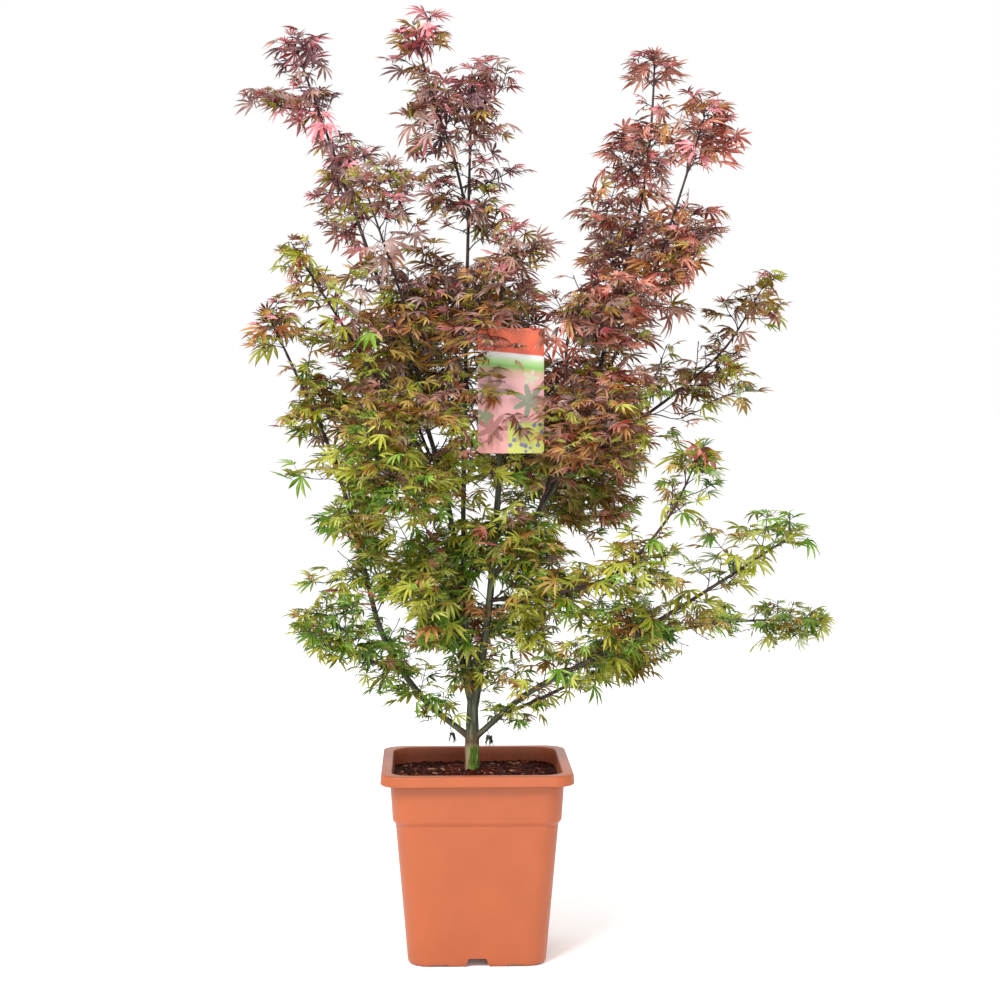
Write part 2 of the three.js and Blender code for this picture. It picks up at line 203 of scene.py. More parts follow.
floor_bm = bmesh.new()
bmesh.ops.create_grid(floor_bm, x_segments=1, y_segments=1, size=FLOOR_HALF)
paper, _, shader = new_material("white_studio_paper")
set_inputs(shader, {
    "Base Color": WHITE, "Roughness": 0.9, "Emission Color": WHITE, "Emission Strength": 0.05,
})
floor = add_object("floor", mesh_from(floor_bm, "floor"), paper)
floor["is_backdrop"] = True

world = bpy.data.worlds.new("white_room")
world.use_nodes = True
set_inputs(world.node_tree.nodes["Background"], {"Color": WHITE, "Strength": 1.0})
scene.world = world
print("a white floor", 2 * FLOOR_HALF, "m across")

# %% Lamps
AIM = Vector((0.05, 0.0, 0.7))
LAMPS = {
    # name: place, size, watts
    "key_lamp": ((-1.5, -2.7, 3.1), 1.4, 170),
    "front_lamp": ((0.5, -2.7, 0.7), 0.8, 9),
    "back_lamp": ((0.6, 2.8, 2.6), 2.2, 24),
}
for name, (place, size, watts) in LAMPS.items():
    lamp_data = bpy.data.lights.new(name, "AREA")
    lamp_data.size = size
    lamp_data.energy = watts
    lamp = bpy.data.objects.new(name, lamp_data)
    lamp.location = place
    lamp.rotation_euler = (AIM - Vector(place)).to_track_quat("-Z", "Y").to_euler()
    scene.collection.objects.link(lamp)
print(len(LAMPS), "soft lamps in a white room")

# %% [markdown]
# ## The pot
#
# Nursery pots like this are injection moulded from polypropylene: a thin wall with draft, a step
# that stops stacked pots from jamming, and a rim that turns down into a lip. One could scale a
# cube up, but then the round corners would grow with it. Here the section is an outline of half
# widths and heights whose corners are rounded to the radius of the mould, and a square with
# round corners is extruded from each point of it to the next, inwards again over the rim. The
# drain notches under the foot are cut with a boolean, as slides in the mould would form them.

# %% Pot sizes
_, pot_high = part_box("pot")
POT_HEIGHT = pot_high.z
RIM_HALF = pot_high.x
CORNER = 29 * MM
CORNER_SEGMENTS = 10
RIM_DROP = 15 * MM
LIP = 2.5 * MM
LIP_TOP_HALF = RIM_HALF + 1.4 * MM
LIP_FOOT_HALF = RIM_HALF + 2.8 * MM
WALL = 3 * MM
WALL_TOP_HALF = 120 * MM
STEP_HEIGHT = 198 * MM
STEP_SLOPE = 5.5 * MM
STEP_TOP_HALF = 116 * MM
STEP_FOOT_HALF = 112 * MM
FOOT_HALF = 95.3 * MM
FLOOR_TOP = 17 * MM


def rounded(corners, steps=4):
    """An outline through corners of (half width, height, radius), each corner rounded."""
    points = [Vector(corners[0][:2])]
    for before, here, after in zip(corners, corners[1:], corners[2:]):
        corner = Vector(here[:2])
        back = (Vector(before[:2]) - corner).normalized()
        ahead = (Vector(after[:2]) - corner).normalized()
        cut = here[2] / math.tan(back.angle(ahead) / 2)
        first, last = corner + back * cut, corner + ahead * cut
        for step in range(steps + 1):
            share = step / steps
            points.append(first.lerp(corner, share).lerp(corner.lerp(last, share), share))
    points.append(Vector(corners[-1][:2]))
    return points


flat_half = 0.6 * FOOT_HALF  # the outline starts and ends on flat squares of this half width
lip_foot = POT_HEIGHT - RIM_DROP
under_rim = POT_HEIGHT - WALL
pot_outline = rounded([
    (flat_half, 0, 0),
    (FOOT_HALF, 0, 7 * MM),
    (STEP_FOOT_HALF, STEP_HEIGHT, 0.8 * MM),
    (STEP_TOP_HALF, STEP_HEIGHT + STEP_SLOPE, 8 * MM),
    (WALL_TOP_HALF, under_rim, 1 * MM),
    (LIP_TOP_HALF - LIP, under_rim, 1 * MM),
    (LIP_FOOT_HALF - LIP, lip_foot, 0.8 * MM),
    (LIP_FOOT_HALF, lip_foot, 2.6 * MM),
    (LIP_TOP_HALF, POT_HEIGHT, 2.6 * MM),
    (WALL_TOP_HALF - WALL, POT_HEIGHT, 2.6 * MM),
    (STEP_TOP_HALF - WALL, STEP_HEIGHT + STEP_SLOPE + WALL, 4 * MM),
    (STEP_FOOT_HALF - WALL, STEP_HEIGHT + WALL, 1.5 * MM),
    (FOOT_HALF - WALL, FLOOR_TOP, 4 * MM),
    (flat_half, FLOOR_TOP, 0),
])
print(len(pot_outline), "points in the pot's section")


# %% Pot shell
def extruded(bm, face, foot):
    """Extrudes a face and returns its copy. The face goes, unless it is the foot that stays."""
    raised = bmesh.ops.extrude_face_region(bm, geom=[face])["geom"]
    if face is not foot:
        bmesh.ops.delete(bm, geom=[face], context="FACES_ONLY")
    return next(g for g in raised if isinstance(g, bmesh.types.BMFace))


def extruded_stack(bm, outline, corner):
    """A square with round corners, extruded along an outline of half widths and heights."""
    made = bmesh.ops.create_grid(bm, x_segments=1, y_segments=1, size=outline[0].x)
    bmesh.ops.bevel(
        bm, geom=made["verts"], offset=corner, offset_type="OFFSET", affect="VERTICES",
        segments=CORNER_SEGMENTS, profile=0.5, material=-1,
    )
    face = foot = bm.faces[:][0]
    for before, here in zip(outline, outline[1:]):
        face = extruded(bm, face, foot)
        spread, rise = here - before
        for vert in face.verts:
            vert.co.x += spread * math.copysign(1, vert.co.x)
            vert.co.y += spread * math.copysign(1, vert.co.y)
            vert.co.z += rise
    return bm


def apply_modifiers(piece):
    """Replaces a piece's mesh by what its modifiers make of it."""
    seen = piece.evaluated_get(bpy.context.evaluated_depsgraph_get())
    mesh = bpy.data.meshes.new_from_object(seen)
    piece.modifiers.clear()
    piece.data = mesh


pot_bm = extruded_stack(bmesh.new(), pot_outline, CORNER)
pot = add_object("moulded_pot", mesh_from(pot_bm, "moulded_pot"))
print("pot", [round(d / MM, 1) for d in pot.dimensions], "mm")

# %% Drain notches, channels and holes
NOTCH_HEIGHT = 12 * MM
NOTCH_HALF = 19 * MM
NOTCH_TOP_HALF = 12 * MM
NOTCH_END = 52 * MM
CHANNEL_HEIGHT = 3 * MM
CHANNEL_HALF = 11.5 * MM
CHANNEL_ASIDE = 52 * MM
DRAIN_RADIUS = 7 * MM
DRAIN_ASIDE = 62 * MM
PAST = 4 * MM  # a cutter reaches this far past what it cuts


def box_between(bm, low, high):
    made = bmesh.ops.create_cube(bm, size=1)["verts"]
    size = Vector(high) - Vector(low)
    middle = (Vector(high) + Vector(low)) / 2
    bmesh.ops.transform(bm, verts=made, matrix=Matrix.LocRotScale(middle, None, size))
    return made


drain_bm = bmesh.new()
notch = box_between(
    drain_bm, (-NOTCH_HALF, -FOOT_HALF - PAST, -PAST), (NOTCH_HALF, -NOTCH_END, NOTCH_HEIGHT)
)
for vert in notch:
    if vert.co.z > 0:
        vert.co.x = math.copysign(NOTCH_TOP_HALF, vert.co.x)
drain = bmesh.ops.create_cone(
    drain_bm, cap_ends=True, segments=24, radius1=DRAIN_RADIUS, radius2=DRAIN_RADIUS,
    depth=2 * FLOOR_TOP,
)["verts"]
bmesh.ops.translate(drain_bm, verts=drain, vec=(0, -DRAIN_ASIDE, 1.5 * FLOOR_TOP))
for aside in (-CHANNEL_ASIDE, CHANNEL_ASIDE):
    box_between(
        drain_bm,
        (aside - CHANNEL_HALF, -FOOT_HALF - PAST, -PAST),
        (aside + CHANNEL_HALF, -CHANNEL_ASIDE - CHANNEL_HALF, CHANNEL_HEIGHT),
    )
one_side = drain_bm.verts[:] + drain_bm.edges[:] + drain_bm.faces[:]
for turn in (1, 2, 3):
    copied = bmesh.ops.duplicate(drain_bm, geom=one_side)["geom"]
    quarter_turns = Matrix.Rotation(turn * math.pi / 2, 3, "Z")
    bmesh.ops.rotate(drain_bm, verts=verts_in(copied), matrix=quarter_turns)
drains = add_object("drain_cutter", mesh_from(drain_bm, "drain_cutter"))
cut = pot.modifiers.new("drains", "BOOLEAN")
cut.object = drains
cut.solver = "EXACT"
cut.use_self = True
apply_modifiers(pot)
bpy.data.objects.remove(drains)
shade(pot.data, 32)
pot.modifiers.new("flat_walls", "WEIGHTED_NORMAL").keep_sharp = True
apply_modifiers(pot)
print("pot with drains:", len(pot.data.polygons), "faces")

# %% [markdown]
# ### Terracotta-coloured polypropylene
#
# The plastic is coloured in the mass and leaves a fine-eroded mould, so it is satin rather than
# glossy, with a soft wide highlight along each edge. Its colour is even, with a faint cloudiness
# where the melt flowed. Splashed peat sits on the inside above the compost, and painted shade
# darkens the inside with it, for the shadow that the crown casts into the pot. Its mask takes what
# lies, near the top of the pot, within about a corner radius of a square core, as only the inner
# faces do there, and it fades towards the rim. The grain is 0.4 mm in life, and is drawn at twice
# that, so that it shows as sheen.

# %% Pot material
GRAIN_SIZE = 0.8 * MM
FLOW_SIZE = 60 * MM
SPECKLE_SIZE = 7 * MM
CLEAN_RIM, PEAT_AND_SHADE_FROM = 2 * MM, 12 * MM  # how far under the rim the peat and the painted shade start and are full

plastic, tree, shader = new_material("satin_polypropylene")
place = add_node(tree, "TexCoord", output="Object")
flow = add_node(tree, "TexNoise", {"Vector": place, "Scale": 1 / FLOW_SIZE, "Detail": 3.0})
height = add_node(tree, "SeparateXYZ", {0: place}, "Z")
flat = add_node(tree, "Mapping", {"Vector": place, "Scale": (1, 1, 0)})
across = add_node(tree, "VectorMath", {0: flat}, operation="ABSOLUTE")
core = STEP_TOP_HALF - CORNER
past_core = add_node(tree, "VectorMath", {0: across, 1: (core, core, 0)}, operation="SUBTRACT")
past_core = add_node(tree, "VectorMath", {0: past_core, 1: (0, 0, 0)}, operation="MAXIMUM")
reach = add_node(tree, "VectorMath", {0: past_core}, "Value", operation="LENGTH")
within = add_node(tree, "MapRange", {
    "Value": reach, "From Min": CORNER + 1.8 * MM, "From Max": CORNER + 1.2 * MM,
})
near_top = add_node(
    tree, "Math", {0: height, 1: POT_HEIGHT - 2 * RIM_DROP}, operation="GREATER_THAN"
)
below_rim = add_node(tree, "MapRange", {
    "Value": height, "From Min": POT_HEIGHT - CLEAN_RIM, "From Max": POT_HEIGHT - PEAT_AND_SHADE_FROM,
})
below_rim = add_node(tree, "Math", {0: below_rim, 1: near_top}, operation="MULTIPLY")
# painted shade: near the top the inner wall is darkened for the crown's shadow, with the splashed
# peat
peat_and_shade_mask = add_node(tree, "Math", {0: within, 1: below_rim}, operation="MULTIPLY")
speckle = add_node(tree, "TexNoise", {"Vector": place, "Scale": 1 / SPECKLE_SIZE, "Detail": 6.0})
peat_and_shade_share = add_node(tree, "Math", {0: speckle, 1: 0.45, 2: 0.2}, operation="MULTIPLY_ADD")
peat_and_shade_share = add_node(tree, "Math", {0: peat_and_shade_mask, 1: peat_and_shade_share}, operation="MULTIPLY")
matt = add_node(tree, "MapRange", {"Value": peat_and_shade_share, "To Min": 0.44, "To Max": 0.85})
grain = add_node(tree, "TexNoise", {"Vector": place, "Scale": 1 / GRAIN_SIZE, "Detail": 2.0})
set_inputs(shader, {
    "Base Color": painted(tree, "#954820", (flow, "#A65127"), (peat_and_shade_share, "#5A1100")),
    "Roughness": matt,
    "Normal": add_node(tree, "Bump", {"Height": grain, "Strength": 0.08, "Distance": 0.2 * MM}),
    "IOR": 1.49,
})
pot.data.materials.append(plastic)
part_of_plant(pot, "pot_plastic", "pot")

# %% [markdown]
# ## The compost
#
# Potting compost is moist peat with bark chips, wood fibre and grit, a little mounded round the
# trunk. A noise bump on a flat sheet would look like carpet. The surface is a fine grid lowered
# and raised by noise, kept inside the pot's round corners, and on it lie crumbs, chips and grit
# as separate small meshes, joined by kind.

# %% Compost surface
_, soil_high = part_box("soil")
SOIL_TOP = soil_high.z
SOIL_HALF = soil_high.x - 0.2 * MM
SOIL_CORNER = CORNER - WALL
SOIL_DEPTH = 12 * MM
SOIL_CELLS = 90
SUNK = 4 * MM  # away from the mound the surface lies this far under the CAD solid's top
MOUND, MOUND_REACH = 9 * MM, 60 * MM
WAVE, WAVE_LENGTH = 3.5 * MM, 45 * MM
CRUMB, CRUMB_LENGTH = 2.2 * MM, 5 * MM
trunk_low, trunk_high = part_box("trunk")
trunk_foot = Vector(((trunk_low.x + trunk_high.x) / 2, (trunk_low.y + trunk_high.y) / 2, SOIL_TOP))


def soil_height(x, y):
    """The compost's height: a low mound round the trunk, waves, and crumbs."""
    away = math.hypot(x - trunk_foot.x, y - trunk_foot.y)
    mound = MOUND * math.exp(-((away / MOUND_REACH) ** 2))
    waves = WAVE * noise.noise(Vector((x, y, 0)) / WAVE_LENGTH)
    crumbs = CRUMB * noise.fractal(Vector((x, y, 0.3)) / CRUMB_LENGTH, 1.0, 2.0, 3)
    return SOIL_TOP - SUNK + mound + waves + crumbs


def kept_in_corner(x, y, half, corner):
    """The point, drawn in onto the arc where it lies past a round corner."""
    over_x, over_y = abs(x) - (half - corner), abs(y) - (half - corner)
    past = math.hypot(over_x, over_y)
    if over_x <= 0 or over_y <= 0 or past <= corner:
        return x, y
    pull = corner / past
    kept_x = math.copysign(half - corner + over_x * pull, x)
    kept_y = math.copysign(half - corner + over_y * pull, y)
    return kept_x, kept_y


soil_bm = bmesh.new()
bmesh.ops.create_grid(soil_bm, x_segments=SOIL_CELLS, y_segments=SOIL_CELLS, size=SOIL_HALF)
surface = set(verts_in(bmesh.ops.extrude_face_region(soil_bm, geom=soil_bm.faces[:])["geom"]))
for vert in soil_bm.verts:
    vert.co.x, vert.co.y = kept_in_corner(vert.co.x, vert.co.y, SOIL_HALF, SOIL_CORNER)
    at_surface = vert in surface
    vert.co.z = soil_height(vert.co.x, vert.co.y) if at_surface else SOIL_TOP - SOIL_DEPTH
soil_mesh = mesh_from(soil_bm, "peat_compost", smooth_angle=60)
print("compost", round(2 * SOIL_HALF / MM), "mm across, in cells of",
      round(2 * SOIL_HALF / SOIL_CELLS / MM, 1), "mm")

# %% Moist peat
LUMP_SIZE = 9 * MM

peat, tree, shader = new_material("moist_peat")
place = add_node(tree, "TexCoord", output="Object")
lumps = add_node(tree, "TexNoise", {"Vector": place, "Scale": 1 / LUMP_SIZE, "Detail": 8.0})
set_inputs(shader, {
    "Base Color": add_node(tree, "ValToRGB", {"Fac": lumps}, stops=[
        (0.3, "#170501"), (0.52, "#380E04"), (0.72, "#63220C"),
    ]),
    "Normal": add_node(tree, "Bump", {"Height": lumps, "Strength": 0.6, "Distance": 1.5 * MM}),
    "Roughness": 0.85,
    "Specular IOR Level": 0.1,
})
part_of_plant(add_object("peat_compost", soil_mesh, peat), "compost", "soil")


# %% Joining many small shapes
def joined_mesh(name, blocks, smooth_angle=None):
    """One mesh from many (vertices, faces) blocks."""
    vertices, faces, start = [], [], 0
    for block_vertices, block_faces in blocks:
        vertices.append(np.asarray(block_vertices))
        faces.extend(tuple(start + i for i in face) for face in block_faces)
        start += len(block_vertices)
    mesh = bpy.data.meshes.new(name)
    mesh.from_pydata(np.concatenate(vertices), [], faces)
    mesh.update()
    shade(mesh, smooth_angle)
    return mesh


def block_of(bm):
    """A bmesh as a (vertices, faces) block."""
    bm.verts.index_update()
    block = (np.array([v.co[:] for v in bm.verts]), [[v.index for v in f.verts] for f in bm.faces])
    bm.free()
    return block


def turned(block, rng, place, scale):
    """A copy of the block turned at random, stretched by scale and put in its place."""
    turn = Matrix.Rotation(rng.uniform(0, math.tau), 3, "Z")
    tip = Matrix.Rotation(rng.uniform(-0.5, 0.5), 3, "X")
    matrix = np.array(turn @ tip) * np.asarray(scale)
    return block[0] @ matrix.T + np.asarray(place), block[1]


# %% Crumb and chip shapes
crumb_bm = bmesh.new()
bmesh.ops.create_icosphere(crumb_bm, subdivisions=1, radius=1)
for vert in crumb_bm.verts:
    vert.co *= 0.8 + 0.35 * noise.noise(vert.co * 2.3)
crumb_shape = block_of(crumb_bm)
chip_bm = bmesh.new()
bmesh.ops.create_cube(chip_bm, size=2)
bmesh.ops.bevel(
    chip_bm, geom=chip_bm.edges[:], offset=0.35, segments=1, affect="EDGES", profile=0.5, material=-1
)
chip_shape = block_of(chip_bm)
print("a crumb of", len(crumb_shape[1]), "faces and a chip of", len(chip_shape[1]))

# %% Crumbs, chips and grit
CHAFF_HALF = SOIL_HALF - 8 * MM
MOTTLE_SIZE = 6 * MM
SCATTERED = {
    # name: shape, how many, half sizes in mm from least to most, colour
    "peat_crumbs": (crumb_shape, 1500, (1.2, 1.0, 0.9), (3.6, 3.0, 2.2), "#3A1107"),
    "brown_bark_chips": (chip_shape, 190, (3.0, 1.4, 0.5), (8.0, 3.2, 1.2), "#63280F"),
    "pale_wood_chips": (chip_shape, 90, (1.6, 0.8, 0.4), (5.5, 2.2, 0.9), "#B5835F"),
    "grit": (crumb_shape, 45, (0.8, 0.8, 0.6), (1.7, 1.5, 1.2), "#C9A896"),
}
rng = random.Random(11)
for name, (shape, count, least, most, colour) in SCATTERED.items():
    blocks = []
    for _ in range(count):
        x, y = rng.uniform(-1, 1) * CHAFF_HALF, rng.uniform(-1, 1) * CHAFF_HALF
        x, y = kept_in_corner(x, y, CHAFF_HALF, SOIL_CORNER)
        share = rng.random() ** 2
        scale = [MM * (a + (b - a) * share) for a, b in zip(least, most)]
        blocks.append(turned(shape, rng, (x, y, soil_height(x, y) + 0.5 * scale[2]), scale))
    chaff, tree, shader = new_material(name)
    place = add_node(tree, "TexCoord", output="Object")
    mottle = add_node(tree, "TexNoise", {"Vector": place, "Scale": 1 / MOTTLE_SIZE})
    damp = (*(0.45 * c for c in linear(colour)[:3]), 1.0)
    set_inputs(shader, {
        "Base Color": painted(tree, damp, (mottle, colour)),
        "Roughness": 0.8,
        "Specular IOR Level": 0.12,
    })
    part_of_plant(add_object(name, joined_mesh(name, blocks), chaff), "compost")

# %% [markdown]
# ## Trunk and limbs
#
# The CAD limbs are plain six-sided tubes. Their rings of vertices give the middle line and the
# thickness of each limb, so the bark is grown on those: a smooth curve through the middles of the
# rings, and a round section extruded along it. Maple bark is smooth when young: faint lengthwise
# furrows, a swollen ring at each old leaf scar, and a collar where a limb leaves its bearer. All
# of that is moved vertices. One could sculpt it, but a rule keeps every limb alike and fast.

# %% Rings and smooth paths
def node_points(name):
    """The corners of a CAD node, each once."""
    corners = {tuple(round(c, 6) for c in v.co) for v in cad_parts[name].data.vertices}
    return np.array(sorted(corners))


def rings_of(points, reach, measure):
    """Groups the points into rings: (middle, mean distance from it) for each."""
    rings, left = [], list(range(len(points)))
    while left:
        ring = [left[0]]
        for i in ring:
            ring += [j for j in left if j not in ring and measure(points[i], points[j]) < reach]
        left = [j for j in left if j not in ring]
        middle = points[ring].mean(0)
        rings.append((middle, np.linalg.norm(points[ring] - middle, axis=1).mean()))
    return rings


def nearest_to(path, point):
    """The number of the path's point that is nearest to a point."""
    return np.linalg.norm(path - point, axis=1).argmin()


def distances_along(path):
    """How far along the path each of its points lies."""
    return np.concatenate([[0], np.cumsum(np.linalg.norm(np.diff(path, axis=0), axis=1))])


def points_along(path, along, places):
    """The points of a path at these distances along it."""
    return np.stack([np.interp(places, along, path[:, k]) for k in range(3)], axis=-1)


def smooth_path(knots, step):
    """A Catmull-Rom curve through the knots, with a point at every step of its length."""
    knots = np.array([2 * knots[0] - knots[1], *knots, 2 * knots[-1] - knots[-2]])
    points = [knots[1]]
    for a, b, c, d in zip(knots, knots[1:], knots[2:], knots[3:]):
        for t in np.linspace(0, 1, 33)[1:]:
            points.append(
                0.5 * (2 * b + (c - a) * t + (2 * a - 5 * b + 4 * c - d) * t**2
                       + (3 * b - a - 3 * c + d) * t**3)
            )
    points = np.array(points)
    along = distances_along(points)
    places = np.linspace(0, along[-1], max(3, round(along[-1] / step)))
    return points_along(points, along, places), places


# %% Which limb bears which
BEARERS = {
    "trunk": None,
    "centre_right_leader": "trunk",
    "upper_left_leader": "trunk",
    "centre_leader": "trunk",
    "lower_left_bough": "trunk",
    "lower_right_bough": "trunk",
    "low_left_branch": "lower_left_bough",
    "low_right_branch": "lower_right_bough",
    "far_low_right_bough": "lower_right_bough",
    "mid_right_bough": "centre_right_leader",
    "right_leader": "centre_right_leader",
    "right_bough": "right_leader",
    "right_inner_leader": "right_leader",
    "far_right_leader": "right_leader",
    "left_side_bough": "upper_left_leader",
    "small_left_leader": "upper_left_leader",
    "centre_left_leader": "centre_leader",
    "back_left_bough": "centre_leader",
    "back_right_bough": "centre_leader",
    "front_left_bough": "upper_left_leader",
}
TRUNK_RADIUS = 10.6 * MM
TRUNK_TAPER = ((0, 1), (0.4, 1), (0.66, 0.84), (1, 0.72))  # share of length, girth
TRUNK_RING_REACH = 5 * MM
RING_REACH = 17 * MM  # two vertices further apart than this are on different rings
SMALLEST_RING = 0.8 * MM  # a smaller one is a stray corner
FOOT_REACH = 4 * MM  # a limb's foot is its corners within this of its bearer's bark
CLEAR_OF_BEARER = 30 * MM  # its rings are read where they are further than this from the bearer
STEM_DROP = 30 * MM  # a stem comes free of the trunk this far above where it starts in it
PATH_STEP = 6 * MM


def limb_line(name, bearer):
    """The middle line of a limb as points, their distances along it, and the thickness there."""
    points = node_points(name)
    if bearer is None:
        rings = rings_of(points, TRUNK_RING_REACH, lambda a, b: abs(a[2] - b[2]))
        rings.sort(key=lambda ring: ring[0][2])
        knots, radii = [ring[0] for ring in rings], [ring[1] for ring in rings]
    else:
        near = np.array([np.linalg.norm(bearer["path"] - p, axis=1).min() for p in points])
        foot = points[near < bearer["radius"].max() + FOOT_REACH].mean(0)
        far_points = points[near > CLEAR_OF_BEARER]
        rings = rings_of(far_points, RING_REACH, lambda a, b: np.linalg.norm(a - b))
        rings = [ring for ring in rings if ring[1] > SMALLEST_RING]
        here, knots, radii = foot, [], []
        while rings:
            rings.sort(key=lambda ring: np.linalg.norm(ring[0] - here))
            here, radius = rings.pop(0)
            knots.append(here)
            radii.append(radius)
        below = 0.12 * (knots[0] - foot)
        if name.endswith("_leader"):
            below = np.array((0, 0, STEM_DROP))
        start = bearer["path"][nearest_to(bearer["path"], foot - below)]
        knots, radii = [start, *knots], [radii[0], *radii]
    path, along = smooth_path(knots, PATH_STEP)
    radius = np.interp(along, [along[nearest_to(path, knot)] for knot in knots], radii)
    if bearer is None:
        radius = np.minimum(radius, TRUNK_RADIUS) * np.interp(along / along[-1], *zip(*TRUNK_TAPER))
    return {"path": path, "along": along, "radius": radius}


limbs = {}
for name, bearer_name in BEARERS.items():
    line = limbs[name] = limb_line(name, limbs.get(bearer_name))
    print(f"{name}: {line['along'][-1] / MM:.0f} mm, radius {line['radius'][0] / MM:.1f}"
          f" to {line['radius'][-1] / MM:.1f} mm")

# %% Bark relief
LIMB_SIDES = 14
FURROW_LENGTH, KNOB_LENGTH = 60 * MM, 18 * MM
SCAR_SPACING = 52 * MM
SCAR_WIDTH = 2.2 * MM
COLLAR = 9 * MM
STEM_COLLAR = 42 * MM  # the stems that the trunk forks into thicken over this length
STEM_START = 30 * MM  # and start thinner, within the trunk, over this length
BOUGH_SHADE = 0.9  # painted shade: a bough's bark is drawn dark for longer than an upright stem's, for its shaded sides

for name, line in limbs.items():
    is_stem = BEARERS[name] == "trunk" and name.endswith("_leader")
    line["has_bearer"] = BEARERS[name] is not None
    line["collar"] = STEM_COLLAR if is_stem else COLLAR
    # painted shade: boughs get a lower age, so that their bark is drawn darker, for their shaded
    # sides
    line["age"] = BOUGH_SHADE if name.endswith("_bough") else 1.0


def headings_along(path):
    """The direction of a path at each of its points."""
    headings = np.gradient(path, axis=0)
    return headings / np.linalg.norm(headings, axis=1, keepdims=True)


def frames_along(path):
    """A path's headings and two sideways directions, carried along it without a twist."""
    headings = headings_along(path)
    side = np.cross(headings[0], (0.31, 0.9, 0.31))
    sides = []
    for heading in headings:
        side = side - heading * side.dot(heading)
        side /= np.linalg.norm(side)
        sides.append(side)
    sides = np.array(sides)
    return headings, sides, np.cross(headings, sides)


def bark_swell(line, index, turn):
    """How thick a limb is at a point round one of its rings."""
    along, radius = line["along"][index], line["radius"][index]
    across, up = math.cos(turn), math.sin(turn)
    furrow = noise.noise(Vector((3.2 * across, 3.2 * up, along / FURROW_LENGTH)))
    knobs = noise.noise(Vector((1.5 * across, 1.5 * up, along / KNOB_LENGTH + 7)))
    scar = (along + SCAR_SPACING / 2) % SCAR_SPACING - SCAR_SPACING / 2
    swell = 1 + 0.09 * furrow + 0.07 * knobs + 0.16 * math.exp(-((scar / SCAR_WIDTH) ** 2))
    if line["has_bearer"]:
        swell += 0.55 * math.exp(-along / line["collar"])
    if line["collar"] == STEM_COLLAR:
        swell *= min(1, 0.72 + 0.28 * along / STEM_START)
    return swell * radius


def limb_mesh(name, line):
    """A ring extruded along the limb's line, each copy of it swollen by the bark's relief."""
    _, sides, ups = frames_along(line["path"])
    bm = bmesh.new()
    turn_layer = bm.verts.layers.float.new("turn")
    place_layer = bm.verts.layers.float_vector.new("bark_place")
    age_and_shade_layer = bm.verts.layers.float.new("bark_age_and_shade")
    bmesh.ops.create_circle(bm, cap_ends=True, radius=1, segments=LIMB_SIDES)
    for vert in bm.verts:
        vert[turn_layer] = math.atan2(vert.co.y, vert.co.x)
    face = foot = bm.faces[:][0]
    last = len(line["path"]) - 1
    for index, middle in enumerate(line["path"]):
        if index:
            face = extruded(bm, face, foot)
        for vert in face.verts:
            turn = vert[turn_layer]
            radius = bark_swell(line, index, turn) * (0.4 if index == last else 1)
            across, up = math.cos(turn), math.sin(turn)
            vert.co = middle + radius * (across * sides[index] + up * ups[index])
            vert[place_layer] = (radius * across, radius * up, line["along"][index])
            vert[age_and_shade_layer] = line["radius"][index] / MM * line["age"]
    return mesh_from(bm, name, smooth_angle=70)


# %% [markdown]
# ### Maple bark
#
# On the trunk and the thick stems the bark is grey-green, streaked along its length, with a patch
# of bright green algae and a pinkish scrape near the ground. Towards the thin ends it turns to
# the dark purple-brown of young shoots, and on the boughs it stays dark to a greater thickness,
# as painted shade for their shaded sides. The streaks follow each limb because the noise reads a
# place stored on the mesh, measured round and along the limb, and its age, with the boughs'
# painted shade, is stored as well.

# %% Streaks, and age with the boughs' painted shade
STREAK_WIDTH = 3 * MM

bark, tree, shader = new_material("young_maple_bark")
place = add_node(tree, "Attribute", output="Vector", attribute_name="bark_place")
drawn_out = add_node(tree, "Mapping", {"Vector": place, "Scale": (1, 1, 0.08)})
streaks = add_node(
    tree, "TexNoise", {"Vector": drawn_out, "Scale": 1 / STREAK_WIDTH, "Detail": 5.0}
)
old = add_node(tree, "ValToRGB", {"Fac": streaks}, stops=[
    (0.32, "#262B1F"), (0.5, "#454A37"), (0.68, "#6D7058"),
])
young = add_node(tree, "ValToRGB", {"Fac": streaks}, stops=[
    (0.3, "#1F1516"), (0.55, "#382A29"), (0.75, "#56453D"),
])
thickness = add_node(tree, "Attribute", output="Fac", attribute_name="bark_age_and_shade")
age = add_node(tree, "MapRange", {"Value": thickness, "From Min": 2.4, "From Max": 4.6})

# %% Algae and scrape
EDGE_SIZE = 9 * MM
FILM_SIZE = 5 * MM

place = add_node(tree, "TexCoord", output="Object")
wavy = add_node(tree, "TexNoise", {"Vector": place, "Scale": 1 / EDGE_SIZE, "Detail": 4.0})
edge = add_node(
    tree, "Math", {0: wavy, 1: EDGE_SIZE, 2: -EDGE_SIZE / 2}, operation="MULTIPLY_ADD"
)


def fades(axis, full_at, gone_at):
    """A share that is one at one value of an axis and nothing at another, with a wavy edge."""
    value = add_node(tree, "SeparateXYZ", {0: place}, axis)
    moved = add_node(tree, "Math", {0: value, 1: edge}, operation="ADD")
    return add_node(tree, "MapRange", {"Value": moved, "From Min": gone_at, "From Max": full_at})


